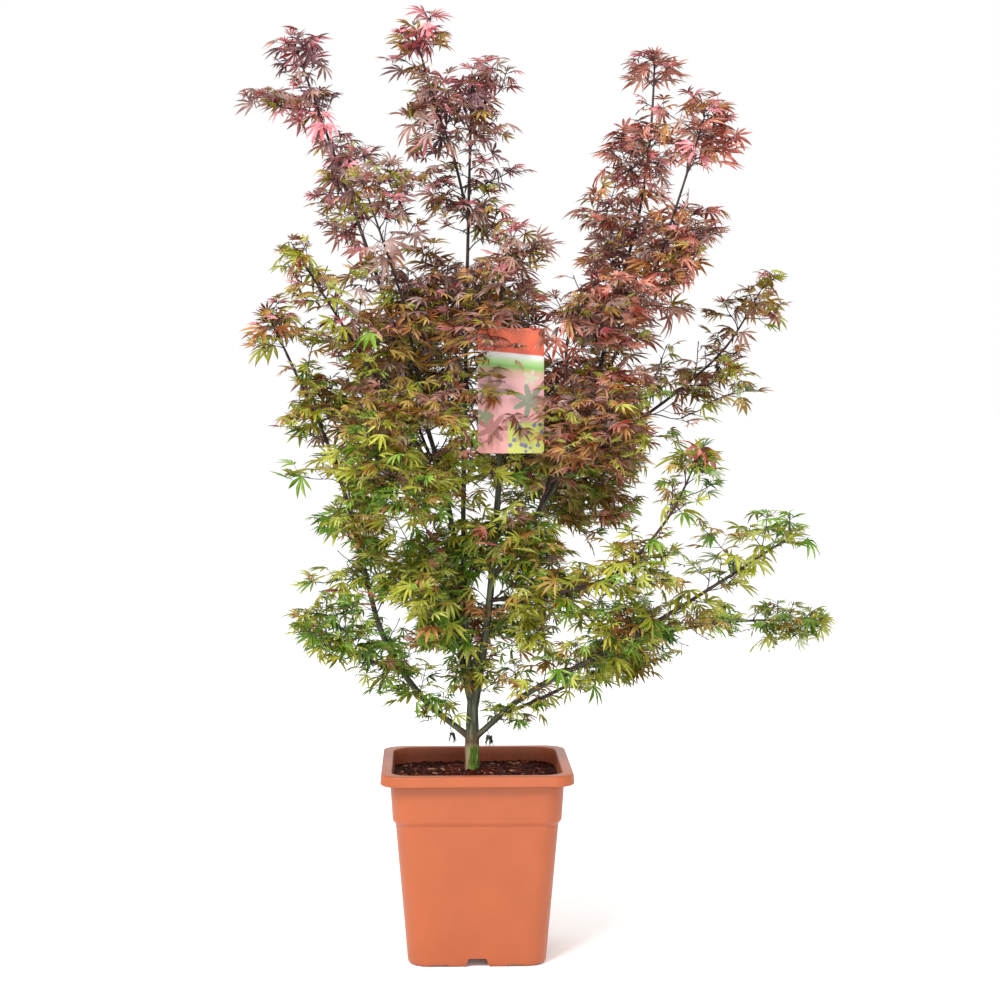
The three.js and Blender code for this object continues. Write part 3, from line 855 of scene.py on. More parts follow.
foot_zone = fades("Z", SOIL_TOP + 34 * MM, SOIL_TOP + 42 * MM)
scrape_zone = fades("Z", SOIL_TOP + 44 * MM, SOIL_TOP + 62 * MM)
right_side = fades("X", trunk_foot.x - 3 * MM, trunk_foot.x - 6.5 * MM)
scrape = add_node(tree, "Math", {0: scrape_zone, 1: wavy}, operation="MULTIPLY")
algae = add_node(tree, "Math", {0: foot_zone, 1: right_side}, operation="MULTIPLY")
drawn_out = add_node(tree, "Mapping", {"Vector": place, "Scale": (1, 1, 0.35)})
film = add_node(tree, "TexNoise", {"Vector": drawn_out, "Scale": 1 / FILM_SIZE, "Detail": 4.0})
green = add_node(tree, "ValToRGB", {"Fac": film}, stops=[
    (0.34, "#34450F"), (0.52, "#506A1C"), (0.66, "#8A9355"),
])
tan = add_node(tree, "ValToRGB", {"Fac": streaks}, stops=[(0.36, "#6A513B"), (0.62, "#9C8569")])

# %% Bark on every limb
set_inputs(shader, {
    "Base Color": painted(
        tree, young, (age, old), (scrape, "#714433"), (foot_zone, tan), (algae, green)
    ),
    "Normal": add_node(tree, "Bump", {"Height": streaks, "Strength": 0.5, "Distance": 0.6 * MM}),
    "Roughness": 0.62,
    "Specular IOR Level": 0.25,
})
for name, line in limbs.items():
    part_of_plant(add_object(name + "_bark", limb_mesh(name, line), bark), "bark", name)

# %% [markdown]
# ## Growing the twigs
#
# A crown can be filled by scattering leaves, but then they float. Here it grows. A maple bears
# its buds in opposite pairs, each pair a quarter turn on from the one below. So first every limb
# gets side shoots at its nodes, as long as the leaf masses of the CAD part leave room for. Then
# the masses are filled: places are drawn in them where a shoot should end, and to each, nearest
# first, a twig is grown from the limb or twig that reaches it the easiest way, at a narrow angle.
# A real crown is neither even nor cut into clumps, so a few gaps stay open through it, and some
# more shoots end between the masses.

# %% Masses of leaves
FAR_OUTSIDE = 30 * MM  # past this the distance from a mass's box is near enough

masses = {name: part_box(name) for name in sorted(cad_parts) if "_leaves_" in name}


def mass_tree(name):
    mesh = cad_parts[name].data
    mesh.calc_loop_triangles()
    return BVHTree.FromPolygons(
        [v.co.copy() for v in mesh.vertices], [t.vertices[:] for t in mesh.loop_triangles]
    )


mass_trees = {name: mass_tree(name) for name in masses}


def depth_in(name, point):
    """How deep a point lies inside a mass of leaves: negative outside it."""
    low, high = masses[name]
    outside = max(max(a - p, p - b) for a, p, b in zip(low, point, high))
    if outside > FAR_OUTSIDE:
        return -outside
    spot, normal, _, distance = mass_trees[name].find_nearest(point)
    return distance if (spot - point).dot(normal) > 0 else -distance


def depth(point):
    return max(depth_in(name, point) for name in masses)


print(len(masses), "masses of leaves")

# %% The skeleton that twigs grow from
SEED = 29
TWIG_STEP = 7 * MM
TIP_RADIUS = 0.62 * MM
WANDER, WANDER_LENGTH = 1.6 * MM, 22 * MM
THICKEST = 0.8  # of its bearer's thickness

rng = random.Random(SEED)
skeleton = {"place": [], "heading": [], "radius": [], "owner": [], "twig": []}
twigs = []


def add_to_skeleton(path, radii, owner, twig):
    skeleton["place"].append(path)
    skeleton["heading"].append(headings_along(path))
    skeleton["radius"].append(radii)
    skeleton["owner"].append([owner] * len(path))
    skeleton["twig"].append([twig] * len(path))


def joined_skeleton():
    return {key: np.concatenate(parts) for key, parts in skeleton.items()}


def twig_path(start, heading, goal):
    """A curve that leaves its bearer along it, turns to the goal and rises at its end."""
    way = goal - start
    reach = way.length
    ahead = way.normalized()
    leave = (0.5 * heading + 0.75 * ahead).normalized() * reach
    arrive = (ahead + Vector((0, 0, 0.3))).normalized() * reach
    steps = max(3, round(reach / TWIG_STEP))
    points = []
    for step in range(steps + 1):
        t = step / steps
        point = (
            (2 * t**3 - 3 * t**2 + 1) * start + (t**3 - 2 * t**2 + t) * leave
            + (3 * t**2 - 2 * t**3) * goal + (t**3 - t**2) * arrive
        )
        wander = WANDER * math.sin(math.pi * t) * noise.noise_vector(point / WANDER_LENGTH)
        points.append(point + wander)
    return np.array(points)


def add_twig(start, heading, goal, owner, bearer, bearer_radius, pairs=4):
    """Grows a twig with some pairs of leaves. Its bearer is a twig's number, or -1 for a limb."""
    path = twig_path(start, heading, goal)
    twigs.append({
        "path": path, "bearer": bearer, "carries": 1.0, "limit": THICKEST * bearer_radius,
        "pairs": pairs,
    })
    add_to_skeleton(path[2:], np.full(len(path) - 2, 2 * TIP_RADIUS), owner, len(twigs) - 1)


for name, line in limbs.items():
    if name != "trunk":
        add_to_skeleton(line["path"][4:], line["radius"][4:], name, -1)
print(len(skeleton["place"]), "limbs to grow from")

# %% Nodes of the limbs
NODES_FROM, NODES_TO = 30 * MM, 12 * MM  # from a limb's foot, and from its tip
NODES_APART = 23 * MM
NEAR_LEAVES = -6 * MM  # a node less far outside the masses than this is among leaves

limb_nodes = []  # (limb, node, heading, one side, whether it is among leaves)
for name, line in limbs.items():
    if name == "trunk":
        continue
    headings, sides, _ = frames_along(line["path"])
    along, level = NODES_FROM, rng.random() * math.tau
    while along < line["along"][-1] - NODES_TO:
        index = int(np.abs(line["along"] - along).argmin())
        node, heading = Vector(line["path"][index]), Vector(headings[index])
        side = Matrix.Rotation(level, 3, heading) @ Vector(sides[index])
        limb_nodes.append((name, index, node, heading, side, depth(node) > NEAR_LEAVES))
        along += NODES_APART * rng.uniform(0.75, 1.25)
        level += math.pi / 2 + rng.gauss(0, 0.2)
print(len(limb_nodes), "nodes")

# %% Side shoots
LONGEST_SIDE_SHOOT = 78 * MM
SHORTEST_SIDE_SHOOT = 13 * MM
PAIR_LENGTH = 26 * MM  # a side shoot has one more pair of leaves for each such length
SKIN_DEPTH = 13 * MM  # shoots end this far inside a mass: their leaves reach its surface
LOW_DOWN = 0.5  # below this height the bare boughs carry more and denser tufts
LEAFY_SHARE, LOW_SHARE, BARE_SHARE = 0.86, 0.95, 0.92  # of the buds there, how many have grown
LOW_LENGTHS, BARE_LENGTHS = (16, 46), (18, 66)  # mm


def room_for_shoot(node, way, tries=13):
    """The length a shoot may have before it comes too near the surface of the leaves."""
    longest = 0.0
    for step in range(2, tries + 1):
        reach = step * LONGEST_SIDE_SHOOT / tries
        if depth(node + way * reach) > SKIN_DEPTH:
            longest = reach
    return longest


for name, index, node, heading, side, leafy_here in limb_nodes:
    radius = limbs[name]["radius"][index]
    for turned_side in (side, -side):
        way = (0.8 * turned_side + 0.6 * heading + 0.22 * UP).normalized()
        if leafy_here and rng.random() < LEAFY_SHARE:
            length = room_for_shoot(node, way) * rng.uniform(0.6, 1.0)
            if length > SHORTEST_SIDE_SHOOT:
                pairs = 2 + round(length / PAIR_LENGTH)
                add_twig(node, heading, node + way * length, name, -1, radius, pairs)
        elif not leafy_here and node.z < LOW_DOWN and index > 4 and rng.random() < LOW_SHARE:
            goal = node + way * rng.uniform(*LOW_LENGTHS) * MM
            add_twig(node, heading, goal, name, -1, radius, pairs=rng.randint(4, 5))
        elif not leafy_here and index > 7 and rng.random() < BARE_SHARE:
            goal = node + way * rng.uniform(*BARE_LENGTHS) * MM
            add_twig(node, heading, goal, name, -1, radius, pairs=rng.randint(2, 3))
print(len(twigs), "side shoots")

# %% Gaps in the crown
STEMS_SEEN = ((-0.06, -1.0, 0.36), (0.06, 0.02, 0.60))  # no shoots end here, before the stems
GAP_RADIUS = 38 * MM
GAPS = (  # across and height in m of places where the sky shows through the crown
    (0.05, 1.19), (-0.24, 1.11), (0.14, 1.01), (-0.20, 0.98), (0.14, 0.95), (0.34, 0.97),
    (0.32, 0.93), (0.46, 0.94), (0.31, 0.86), (0.26, 0.76), (-0.20, 0.56), (0.43, 0.56),
    (-0.11, 0.47), (0.31, 0.43), (0.02, 0.51), (-0.14, 1.01), (-0.28, 0.78), (-0.22, 0.65),
    (0.31, 0.52), (-0.06, 0.72), (-0.18, 1.19),
)


def before_stems(place):
    """Whether a place is in front of the stems that show."""
    return all(a < p < b for a, p, b in zip(STEMS_SEEN[0], place, STEMS_SEEN[1]))


def in_gap(place, radius):
    """Whether a place is in one of the crown's gaps, at any depth."""
    return any(math.hypot(place.x - x, place.z - z) < radius for x, z in GAPS)


print(len(GAPS), "gaps")

# %% Places where shoots end
SHOOT_SPACING = 33 * MM
ENDS_APART, TIPS_APART = 0.75 * SHOOT_SPACING, 0.66 * SHOOT_SPACING
FILLING = 0.85  # how many ends a mass gets, against one for each cube of the spacing
ELLIPSOID = 4.19  # an ellipsoid's volume against the product of its half widths
TRIES = 40
BRIDGES = {
    # limb: where more shoots end, between its masses, in cm across, back and up
    "front_left_bough": ((-3, -14, 81), (-1, -15, 85), (-3, -14, 87), (1, -14, 88)),
    "centre_left_leader": ((-7, -5, 122), (-8, 0, 112), (-6, -1, 109)),
    "far_right_leader": ((30, -5, 119), (34, -5, 111), (26, -1, 118), (24, 1, 119)),
    "centre_leader": (
        (-3, 3, 110), (1, 3, 111), (5, 3, 110), (0, -1, 113), (-3, 0, 107), (-7, 1, 98),
        (-8, -2, 100), (-5, -1, 97), (-11, -2, 61), (-7, -4, 61), (-8, 3, 62), (-4, -2, 64),
        (-1, -4, 63), (-5, 6, 61), (2, -3, 65), (-2, 7, 52), (2, 8, 48), (-4, 8, 45), (1, 7, 41),
    ),
    "right_leader": ((18, 10, 107), (22, 11, 106), (26, 11, 107), (20, 7, 108), (24, 12, 109)),
    "small_left_leader": ((-15, -4, 94), (-16, -2, 91), (-15, 2, 89)),
    "left_side_bough": ((-19, -5, 90), (-20, 1, 87), (-24, -7, 90), (-23, -6, 87)),
    "back_left_bough": ((-23, 6, 86), (-19, 7, 87)),
    "right_bough": (
        (34, 7, 90), (27, 4, 85), (26, 5, 82), (27, 3, 80), (38, 8, 93), (36, 7, 91),
    ),
    "mid_right_bough": ((26, -14, 65), (27, -11, 64), (30, -15, 61), (32, -14, 59)),
    "lower_left_bough": (
        (-25, 6, 67), (-23, 4, 52), (-7, 3, 40), (-4, 2, 39), (-7, 2, 35), (-4, 3, 34),
    ),
    "lower_right_bough": (
        (14, -6, 48), (15, -3, 47), (13, -4, 49), (35, -11, 48), (7, -4, 44), (10, -3, 42),
        (14, -5, 44), (9, 2, 36), (39, -13, 62), (40, -15, 60), (37, -12, 60), (14, -7, 52),
        (18, -8, 52), (16, -5, 54),
    ),
    "low_right_branch": ((10, -2, 43), (7, 2, 43), (6, 3, 39)),
}


def shoot_ends(name):
    """Evenly spread places in a mass, not too near its surface and not in a gap."""
    low, high = masses[name]
    half = (high - low) / 2
    wanted = round(FILLING * ELLIPSOID * half.x * half.y * half.z / SHOOT_SPACING**3)
    skin = min(SKIN_DEPTH, 0.4 * min(half))
    ends = []
    for _ in range(TRIES * wanted):
        point = Vector([rng.uniform(a, b) for a, b in zip(low, high)])
        if depth_in(name, point) < skin or before_stems(point) or in_gap(point, GAP_RADIUS):
            continue
        if all((point - other).length > ENDS_APART for other in ends):
            ends.append(point)
    return ends[:wanted]


goals = [(name.split("_leaves_")[0], end) for name in masses for end in shoot_ends(name)]
goals += [(limb, Vector(end) * 10 * MM) for limb, ends in BRIDGES.items() for end in ends]
places = joined_skeleton()["place"]
goals.sort(key=lambda goal: np.linalg.norm(places - np.array(goal[1]), axis=1).min())
print(len(goals), "places drawn")

# %% Twigs that fill the masses
NARROW = 0.45  # the cosine above which an angle between twig and bearer costs nothing
ANGLE_COST, DROP_COST = 1.6, 3
OTHER_LIMB_COST = 14 * MM
SHORTEST_TWIG = 14 * MM


def grow_to(owner, goal):
    """Grows a twig to the goal from the place on the skeleton that reaches it most easily."""
    joined = joined_skeleton()
    way = np.array(goal) - joined["place"]
    reach = np.linalg.norm(way, axis=1)
    cosine = (way * joined["heading"]).sum(1) / np.maximum(reach, 1e-6)
    cost = reach * (1 + ANGLE_COST * np.maximum(0, NARROW - cosine))
    cost += OTHER_LIMB_COST * (joined["owner"] != owner) + DROP_COST * np.maximum(0, -way[:, 2])
    cost[reach < SHORTEST_TWIG] = np.inf
    foot = int(cost.argmin())
    add_twig(
        Vector(joined["place"][foot]), Vector(joined["heading"][foot]), goal,
        owner, int(joined["twig"][foot]), joined["radius"][foot],
    )


for owner, goal in goals:
    tips = np.array([twig["path"][-1] for twig in twigs])
    if np.linalg.norm(tips - np.array(goal), axis=1).min() > TIPS_APART:
        grow_to(owner, goal)
print(len(twigs), "twigs in all")

# %% Each twig's thickness
GIRTH_POWER = 0.42  # how a twig's thickness follows the number of twigs that it carries
TWIG_COLLAR = 1.3

for twig in reversed(twigs):
    if twig["bearer"] >= 0:
        twigs[twig["bearer"]]["carries"] += twig["carries"]
for twig in twigs:
    foot = min(TIP_RADIUS * (1 + twig["carries"]) ** GIRTH_POWER, twig["limit"])
    share = np.linspace(0, 1, len(twig["path"]))
    twig["radii"] = foot + (TIP_RADIUS - foot) * share
    twig["radii"][0] *= TWIG_COLLAR
print("thickest twig", round(max(t["radii"][0] for t in twigs) / MM, 1), "mm in radius")

# %% Twigs as joined tubes
BLOOM_SIZE = 12 * MM
OLIVE_BELOW = 0.66  # shoots lower than this are olive, the ones above purple
BUD = ((1.2, 1.0), (2.6, 1.5), (4.2, 1.3), (5.8, 0.3))  # mm past the tip, girth against the tip's


def tube(path, radii, sides):
    """A closed tube along a path, as a block."""
    _, across, up = frames_along(path)
    turns = np.arange(sides) * math.tau / sides
    ring = np.cos(turns)[:, None] * across[:, None, :] + np.sin(turns)[:, None] * up[:, None, :]
    points = path[:, None, :] + ring * np.asarray(radii)[:, None, None]
    faces = []
    for row in range(len(path) - 1):
        for side in range(sides):
            after = (side + 1) % sides
            faces.append((
                row * sides + side, row * sides + after,
                (row + 1) * sides + after, (row + 1) * sides + side,
            ))
    faces.append(tuple(reversed(range(sides))))
    faces.append(tuple((len(path) - 1) * sides + side for side in range(sides)))
    return points.reshape(-1, 3), faces


def wood_at(height):
    return "purple" if height > OLIVE_BELOW else "olive"


def shoot_wood(name, dark, light):
    """The bark of this year's shoots: thin, waxy and nearly even, with a faint bloom."""
    wood, tree, shader = new_material(name)
    place = add_node(tree, "TexCoord", output="Object")
    bloom = add_node(tree, "TexNoise", {"Vector": place, "Scale": 1 / BLOOM_SIZE})
    set_inputs(shader, {"Base Color": painted(tree, dark, (bloom, light)), "Roughness": 0.5})
    return wood


past_tip, bud_girth = np.array(BUD).T
twig_blocks = {"purple": [], "olive": []}
for twig in twigs:
    path = twig["path"]
    heading = path[-1] - path[-2]
    heading /= np.linalg.norm(heading)
    bud_path = path[-1] + heading * past_tip[:, None] * MM
    radii = np.concatenate([twig["radii"], TIP_RADIUS * bud_girth])
    twig_blocks[wood_at(path[-1][2])].append(tube(np.concatenate([path, bud_path]), radii, 4))
shoot_woods = {
    "purple": shoot_wood("purple_shoot_bark", "#261519", "#42272A"),
    "olive": shoot_wood("olive_shoot_bark", "#2D2A1B", "#4D4932"),
}
for kind, wood in shoot_woods.items():
    mesh = joined_mesh(kind + "_twigs", twig_blocks[kind], smooth_angle=100)
    part_of_plant(add_object(kind + "_twigs", mesh, wood), "bark")

# %% [markdown]
# ## The leaves
#
# A maple leaf of this kind is cut nearly to its stalk into five or seven narrow lobes, each folded
# along its midrib and drooping to a thin point, so that the leaf spreads like an umbrella. One
# could cut it out of a picture with transparency, but a real outline catches the light. So each
# leaf is a small mesh: per lobe a midrib of three points and an edge on each side. Two dozen
# shapes are made once and then placed by arrays.

# %% One leaf
LOBE_TURNS = (0, 33, 67, 108)  # degrees from the middle lobe to each lobe on one side
LOBE_LENGTHS = (1.0, 0.94, 0.74, 0.4)
WIDTH_AT = (0.5, 0.77)  # how far along a lobe its midrib and its edges have points
EDGE_WIDTHS = (0.084, 0.05)  # half the lobe's width at them
NOTCH = 0.17  # how far out the blade is whole between two lobes
OUTER_NOTCH = 0.55  # and how much of that it is outside the last lobe on each side
OUTER_TURN = 26  # degrees from the last lobe to the blade's end there


def leaf_shape(rng, lobes, fold, droop, spread):
    """A leaf of length 1 in the XY plane, middle lobe along +Y and upper side along +Z."""
    count = lobes // 2
    order = [(-1, k) for k in range(count, 0, -1)] + [(1, k) for k in range(count + 1)]
    bearings = [side * LOBE_TURNS[k] * spread + rng.uniform(-4, 4) for side, k in order]
    lengths = [LOBE_LENGTHS[k] * rng.uniform(0.92, 1.06) for _, k in order]
    points, faces = [Vector((0, 0, 0))], []

    def put(bearing, reach, aside=0.0, lift=0.0, bend=0.0):
        turn = math.radians(bearing)
        along = Vector((math.sin(turn), math.cos(turn), 0))
        across = Vector((math.cos(turn), -math.sin(turn), 0))
        drop = droop * reach**1.8
        shorter = 1 - 0.35 * droop * reach
        point = along * reach * shorter + across * (aside + bend * reach**2)
        points.append(point + Vector((0, 0, lift - drop)))
        return len(points) - 1

    ends = [bearings[0] - OUTER_TURN] + [(a + b) / 2 for a, b in zip(bearings, bearings[1:])]
    ends.append(bearings[-1] + OUTER_TURN)
    notches = []
    for i, bearing in enumerate(ends):
        beside = [lengths[j] for j in (i - 1, i) if 0 <= j < len(lengths)]
        share = OUTER_NOTCH if i in (0, len(ends) - 1) else 1.0
        notches.append(put(bearing, NOTCH * min(beside) * share, 0, 0.03 * fold))
    for i, (bearing, length) in enumerate(zip(bearings, lengths)):
        bend = rng.uniform(-0.14, 0.14)
        broad = rng.uniform(0.8, 1.15) * length
        rib = [put(bearing, share * length, bend=bend) for share in (*WIDTH_AT, 1.0)]
        for side, notch in ((-1, notches[i]), (1, notches[i + 1])):
            near, far = [
                put(bearing, share * length, side * width * broad, fold * width * broad, bend)
                for share, width in zip(WIDTH_AT, EDGE_WIDTHS)
            ]
            made = [(0, notch, near, rib[0]), (near, far, rib[1], rib[0]), (far, rib[2], rib[1])]
            faces += [tuple(reversed(face)) if side < 0 else face for face in made]
    return np.array([p[:] for p in points]), faces


shape_rng = random.Random(5)
GROWN = [
    leaf_shape(shape_rng, 7 if number % 2 else 5, shape_rng.uniform(0.4, 0.8),
               shape_rng.uniform(0.05, 0.4), shape_rng.uniform(0.85, 1.05))
    for number in range(16)
]
SMALL = [
    leaf_shape(shape_rng, 5, shape_rng.uniform(0.5, 0.9), shape_rng.uniform(0.1, 0.35),
               shape_rng.uniform(0.7, 0.95))
    for _ in range(8)
]
print(len(GROWN), "grown leaf shapes of", len(GROWN[0][1]), "faces,",
      len(SMALL), "small ones of", len(SMALL[0][1]))

# %% [markdown]
# ### Leaf colours
#
# In late spring the top of the plant is flushed wine and dusty mauve with pink tips. The middle
# fades through umber, rust and bronze, greener on the left, and the shaded lower leaves are olive
# and green. The greyish mauve and sage tints also paint the sky's sheen on the leaves. Each tint
# is mottled at random from a deeper, richer tone of it, partly painted shade, to a paler one,
# partly painted sheen. It is dealt out by whole sprays: a table names places in the crown with
# the tints common there, and a spray draws its tint from the places nearest to it. A few of its
# leaves differ, as leaves of another age do.

# %% Tints
TINTS = {
    "pink": "#C27A80",
    "wine": "#945A5A",
    "plum": "#6A4C4F",
    # painted sheen: the greyish mauve tint, like sage below, partly stands for the sky's sheen on
    # the leaves
    "mauve": "#987D75",
    "umber": "#8A6355",
    "brick": "#B2705F",
    "rust": "#9A6A3A",
    "bronze": "#967A3B",
    "olive": "#90902F",
    "gold": "#9A9C45",
    "leaf": "#708C31",
    "deep": "#4A651E",
    "sage": "#94A080",
}
TINT_PLACES = [
    # across and height in m, how many parts of each tint
    (-0.25, 1.24, {"wine": 3, "plum": 3, "pink": 1, "mauve": 3, "umber": 2, "bronze": 1}),
    (-0.20, 1.04, {"plum": 2, "mauve": 3, "wine": 2, "umber": 3, "bronze": 2, "olive": 1}),
    (-0.27, 0.97, {"bronze": 4, "olive": 3, "rust": 2, "umber": 1}),
    (-0.07, 1.26, {"wine": 3, "plum": 2, "pink": 1, "umber": 3, "mauve": 2, "bronze": 1}),
    (0.00, 1.05, {"umber": 4, "mauve": 3, "wine": 2, "plum": 1, "bronze": 3, "olive": 1}),
    (0.22, 1.20, {"brick": 4, "umber": 4, "wine": 1, "pink": 1, "rust": 2}),
    (0.25, 0.98, {"brick": 4, "mauve": 2, "umber": 3, "rust": 2, "bronze": 1}),
    (-0.27, 0.88, {"olive": 3, "rust": 2, "bronze": 3, "gold": 1, "umber": 1}),
    (-0.14, 0.80, {"olive": 3, "bronze": 3, "umber": 2, "rust": 1, "leaf": 1}),
    (0.00, 0.82, {"umber": 3, "rust": 3, "bronze": 3, "mauve": 2, "olive": 1}),
    (0.15, 0.78, {"mauve": 2, "brick": 3, "umber": 3, "rust": 2, "bronze": 2}),
    (0.38, 0.88, {"bronze": 3, "olive": 2, "rust": 2, "umber": 2, "sage": 1}),
    (-0.18, 0.64, {"leaf": 3, "olive": 4, "gold": 1, "bronze": 2, "deep": 1}),
    (0.00, 0.60, {"olive": 4, "bronze": 2, "gold": 2, "leaf": 2, "rust": 1}),
    (0.20, 0.60, {"olive": 3, "bronze": 3, "gold": 1, "leaf": 2, "rust": 1}),
    (0.38, 0.62, {"leaf": 3, "gold": 1, "olive": 4, "deep": 1, "sage": 1}),
    (-0.06, 0.54, {"gold": 3, "olive": 3, "leaf": 2, "brick": 1}),
    (0.24, 0.40, {"gold": 3, "leaf": 3, "olive": 3, "sage": 1}),
    (-0.20, 0.45, {"leaf": 2, "olive": 3, "deep": 5}),
    (0.03, 0.42, {"leaf": 2, "olive": 4, "deep": 2, "gold": 1, "bronze": 2, "rust": 1}),
    (0.22, 0.45, {"leaf": 2, "olive": 4, "deep": 2, "gold": 1, "bronze": 3}),
    (0.45, 0.45, {"leaf": 3, "gold": 1, "olive": 4, "bronze": 1, "sage": 1}),
]
TINT_REACH = 0.075


def tint_for(place, rng):
    """Draws a tint from the table's places, the nearest counting most."""
    weights = dict.fromkeys(TINTS, 0.0)
    for across, height, parts in TINT_PLACES:
        apart = math.hypot(place.x - across, place.z - height)
        for tint, part in parts.items():
            weights[tint] += part * math.exp(-((apart / TINT_REACH) ** 2) / 2)
    return rng.choices(list(weights), [weight + 1e-9 for weight in weights.values()])[0]


print(len(TINTS), "tints, dealt out from", len(TINT_PLACES), "places")

# %% Leaf skin
BLOTCH_SIZE = 26 * MM
VEINS_APART = 2 * MM
RICH_SHADE_TONE, RICH_SHADE_POWER = 0.56, 1.8  # the deeper tone, partly painted shade: how bright it is, and how much it is saturated
# the paler tone is partly painted sheen
PALE_SHEEN_TONE, PALE_SHEEN_POWER = 1.4, 0.84


def toned(colour, brightness, power):
    """A tone of a hex colour: brighter or darker, and more saturated for a higher power."""
    base = linear(colour)[:3]
    most = max(base)
    return (*(min(1, brightness * most * (c / most) ** power) for c in base), 1)


def leaf_material(name, colour):
    """A leaf's skin: waxy but not shiny, mottled in its tones with painted shade and sheen, with
    fine side veins that are seen as sheen.
    """
    skin, tree, shader = new_material(name + "_leaf_skin")
    place = add_node(tree, "TexCoord", output="Object")
    mottle = add_node(tree, "TexNoise", {"Vector": place, "Scale": 1 / BLOTCH_SIZE, "Detail": 5.0})
    mottle = add_node(tree, "MapRange", {"Value": mottle, "From Min": 0.39, "From Max": 0.61})
    # painted shade and sheen: a deeper, richer tone stands partly for shade and a paler one partly
    # for sheen, mottled at random
    rich_shade, pale_sheen = toned(colour, RICH_SHADE_TONE, RICH_SHADE_POWER), toned(colour, PALE_SHEEN_TONE, PALE_SHEEN_POWER)
    veins = add_node(tree, "TexNoise", {"Vector": place, "Scale": 1 / VEINS_APART})
    set_inputs(shader, {
        "Base Color": painted(tree, rich_shade, (mottle, pale_sheen)),
        "Normal": add_node(tree, "Bump", {"Height": veins, "Strength": 0.25, "Distance": 0.3 * MM}),
        "Roughness": 0.45,
        "IOR": 1.45,
        "Specular IOR Level": 0.14,
    })
    return skin


# %% A leaf on its stalk
LEAF_LENGTH = 40 * MM
STALK_LENGTH = 23 * MM
STALK_RADII = (0.55 * MM, 0.36 * MM)
ODD_LEAVES = 0.3  # the share of leaves that differ in tint from their spray
HANGING = 0.34  # the share of leaves that hang and turn, while the others lie nearly level
HANGING_DIP, LEVEL_DIP = (32, 24), (0, 13)  # degrees down, mean and spread
HANGING_ROLL, LEVEL_ROLL = 0.7, 0.32
LEAF_GAP_RADIUS = 0.7 * GAP_RADIUS  # leaves reach into a gap from the shoots round it

leaf_rng = random.Random(SEED + 1)
placed = {name: [] for name in TINTS}
stalks = {"purple": [], "olive": []}


def hang_leaf(node, side, heading, size, nod, tint, small):
    """A leaf on a stalk that leaves the node sideways and ahead, unless it would be in a gap."""
    rng = leaf_rng
    out = (0.85 * side + 0.5 * heading + 0.15 * UP).normalized()
    stalk = STALK_LENGTH * size * rng.uniform(0.6, 1.25) * (0.4 if small else 1)
    flat = Vector((out.x, out.y, 0))
    if flat.length < 0.25:
        flat = Vector((rng.uniform(-1, 1), rng.uniform(-1, 1), 0))
    flat.normalize()
    swing = Matrix.Rotation(rng.gauss(0, 0.5), 3, "Z")
    hanging = rng.random() < HANGING
    dip = math.radians(nod + rng.gauss(*(HANGING_DIP if hanging else LEVEL_DIP)))
    forward = (swing @ flat * math.cos(dip) - UP * math.sin(dip)).normalized()
    hub = node + out * stalk * 0.75 + (flat + 0.35 * UP).normalized() * stalk * 0.3
    roll = Matrix.Rotation(rng.gauss(0, HANGING_ROLL if hanging else LEVEL_ROLL), 3, forward)
    upper = roll @ (UP - forward * UP.dot(forward)).normalized()
    right = forward.cross(upper)
    length = LEAF_LENGTH * size * rng.uniform(0.8, 1.15)
    if in_gap(hub + forward * length / 2, LEAF_GAP_RADIUS):
        return
    turn = Matrix((right, forward, upper)).transposed()
    if rng.random() < ODD_LEAVES:
        tint = tint_for(hub, rng)
    shape = rng.choice(SMALL if small else GROWN)
    placed[tint].append((shape, np.array(turn) * length, np.array(hub)))
    stalks[wood_at(node.z)].append(tube(np.array([node[:], hub[:]]), STALK_RADII, 3))


def leaf_pair(node, heading, level, size, nod, tint, small=False, missing=0.1):
    """Two leaves opposite each other, a quarter turn on from the pair before."""
    flat_side = heading.cross(UP)
    if flat_side.length < 0.15:
        flat_side = heading.cross(Vector((math.cos(level), math.sin(level), 0)))
    flat_side.normalize()
    turn = level * math.pi / 2 + leaf_rng.gauss(0, 0.3)
    side = Matrix.Rotation(turn, 3, heading) @ flat_side
    for way in (1, -1):
        if leaf_rng.random() > missing:
            hang_leaf(node, side * way, heading, size, nod, tint, small)


# %% Leaves on every twig
PAIRS_APART = 19 * MM
LOW_CROWDING = 0.55  # the tufts near the ground have shorter spaces between their leaves
BARE_FOOT = 5 * MM  # a shoot has no leaves on the first of its length
YOUNG_TINTS = ("pink", "gold")  # of the small leaves at the tips, high up and low down
YOUNG_HEIGHT = 0.84
YOUNG_APART = 5 * MM


def leafy(path, tint, size, pairs):
    """Leaf pairs down a shoot from its tip, the youngest ones smaller and more upright."""
    along = distances_along(path)
    back, level = 0.0, leaf_rng.randrange(2)
    for pair in range(pairs):
        place = along[-1] - back
        if place < BARE_FOOT:
            break
        before, node = [
            Vector(points_along(path, along, reach)) for reach in (place - BARE_FOOT, place)
        ]
        grown = min(1.0, 0.74 + 0.13 * pair)
        heading = (node - before).normalized()
        leaf_pair(node, heading, level, size * grown, 8 * pair - 12, tint)
        crowding = LOW_CROWDING if node.z < LOW_DOWN else 1
        back += crowding * PAIRS_APART * leaf_rng.uniform(0.6, 1.0) * (1 + 0.15 * pair)
        level += 1


def tip_leaves(tip, heading, size):
    """The small upright leaves a shoot has just opened, often of a brighter tint."""
    young = YOUNG_TINTS[0] if tip.z > YOUNG_HEIGHT + leaf_rng.gauss(0, 0.06) else YOUNG_TINTS[1]
    tint = young if leaf_rng.random() < 0.5 else tint_for(tip, leaf_rng)
    for level in range(2):
        node = tip + heading * level * YOUNG_APART
        leaf_pair(node, heading, level, (0.62 - 0.12 * level) * size, -26, tint, True, 0.2)


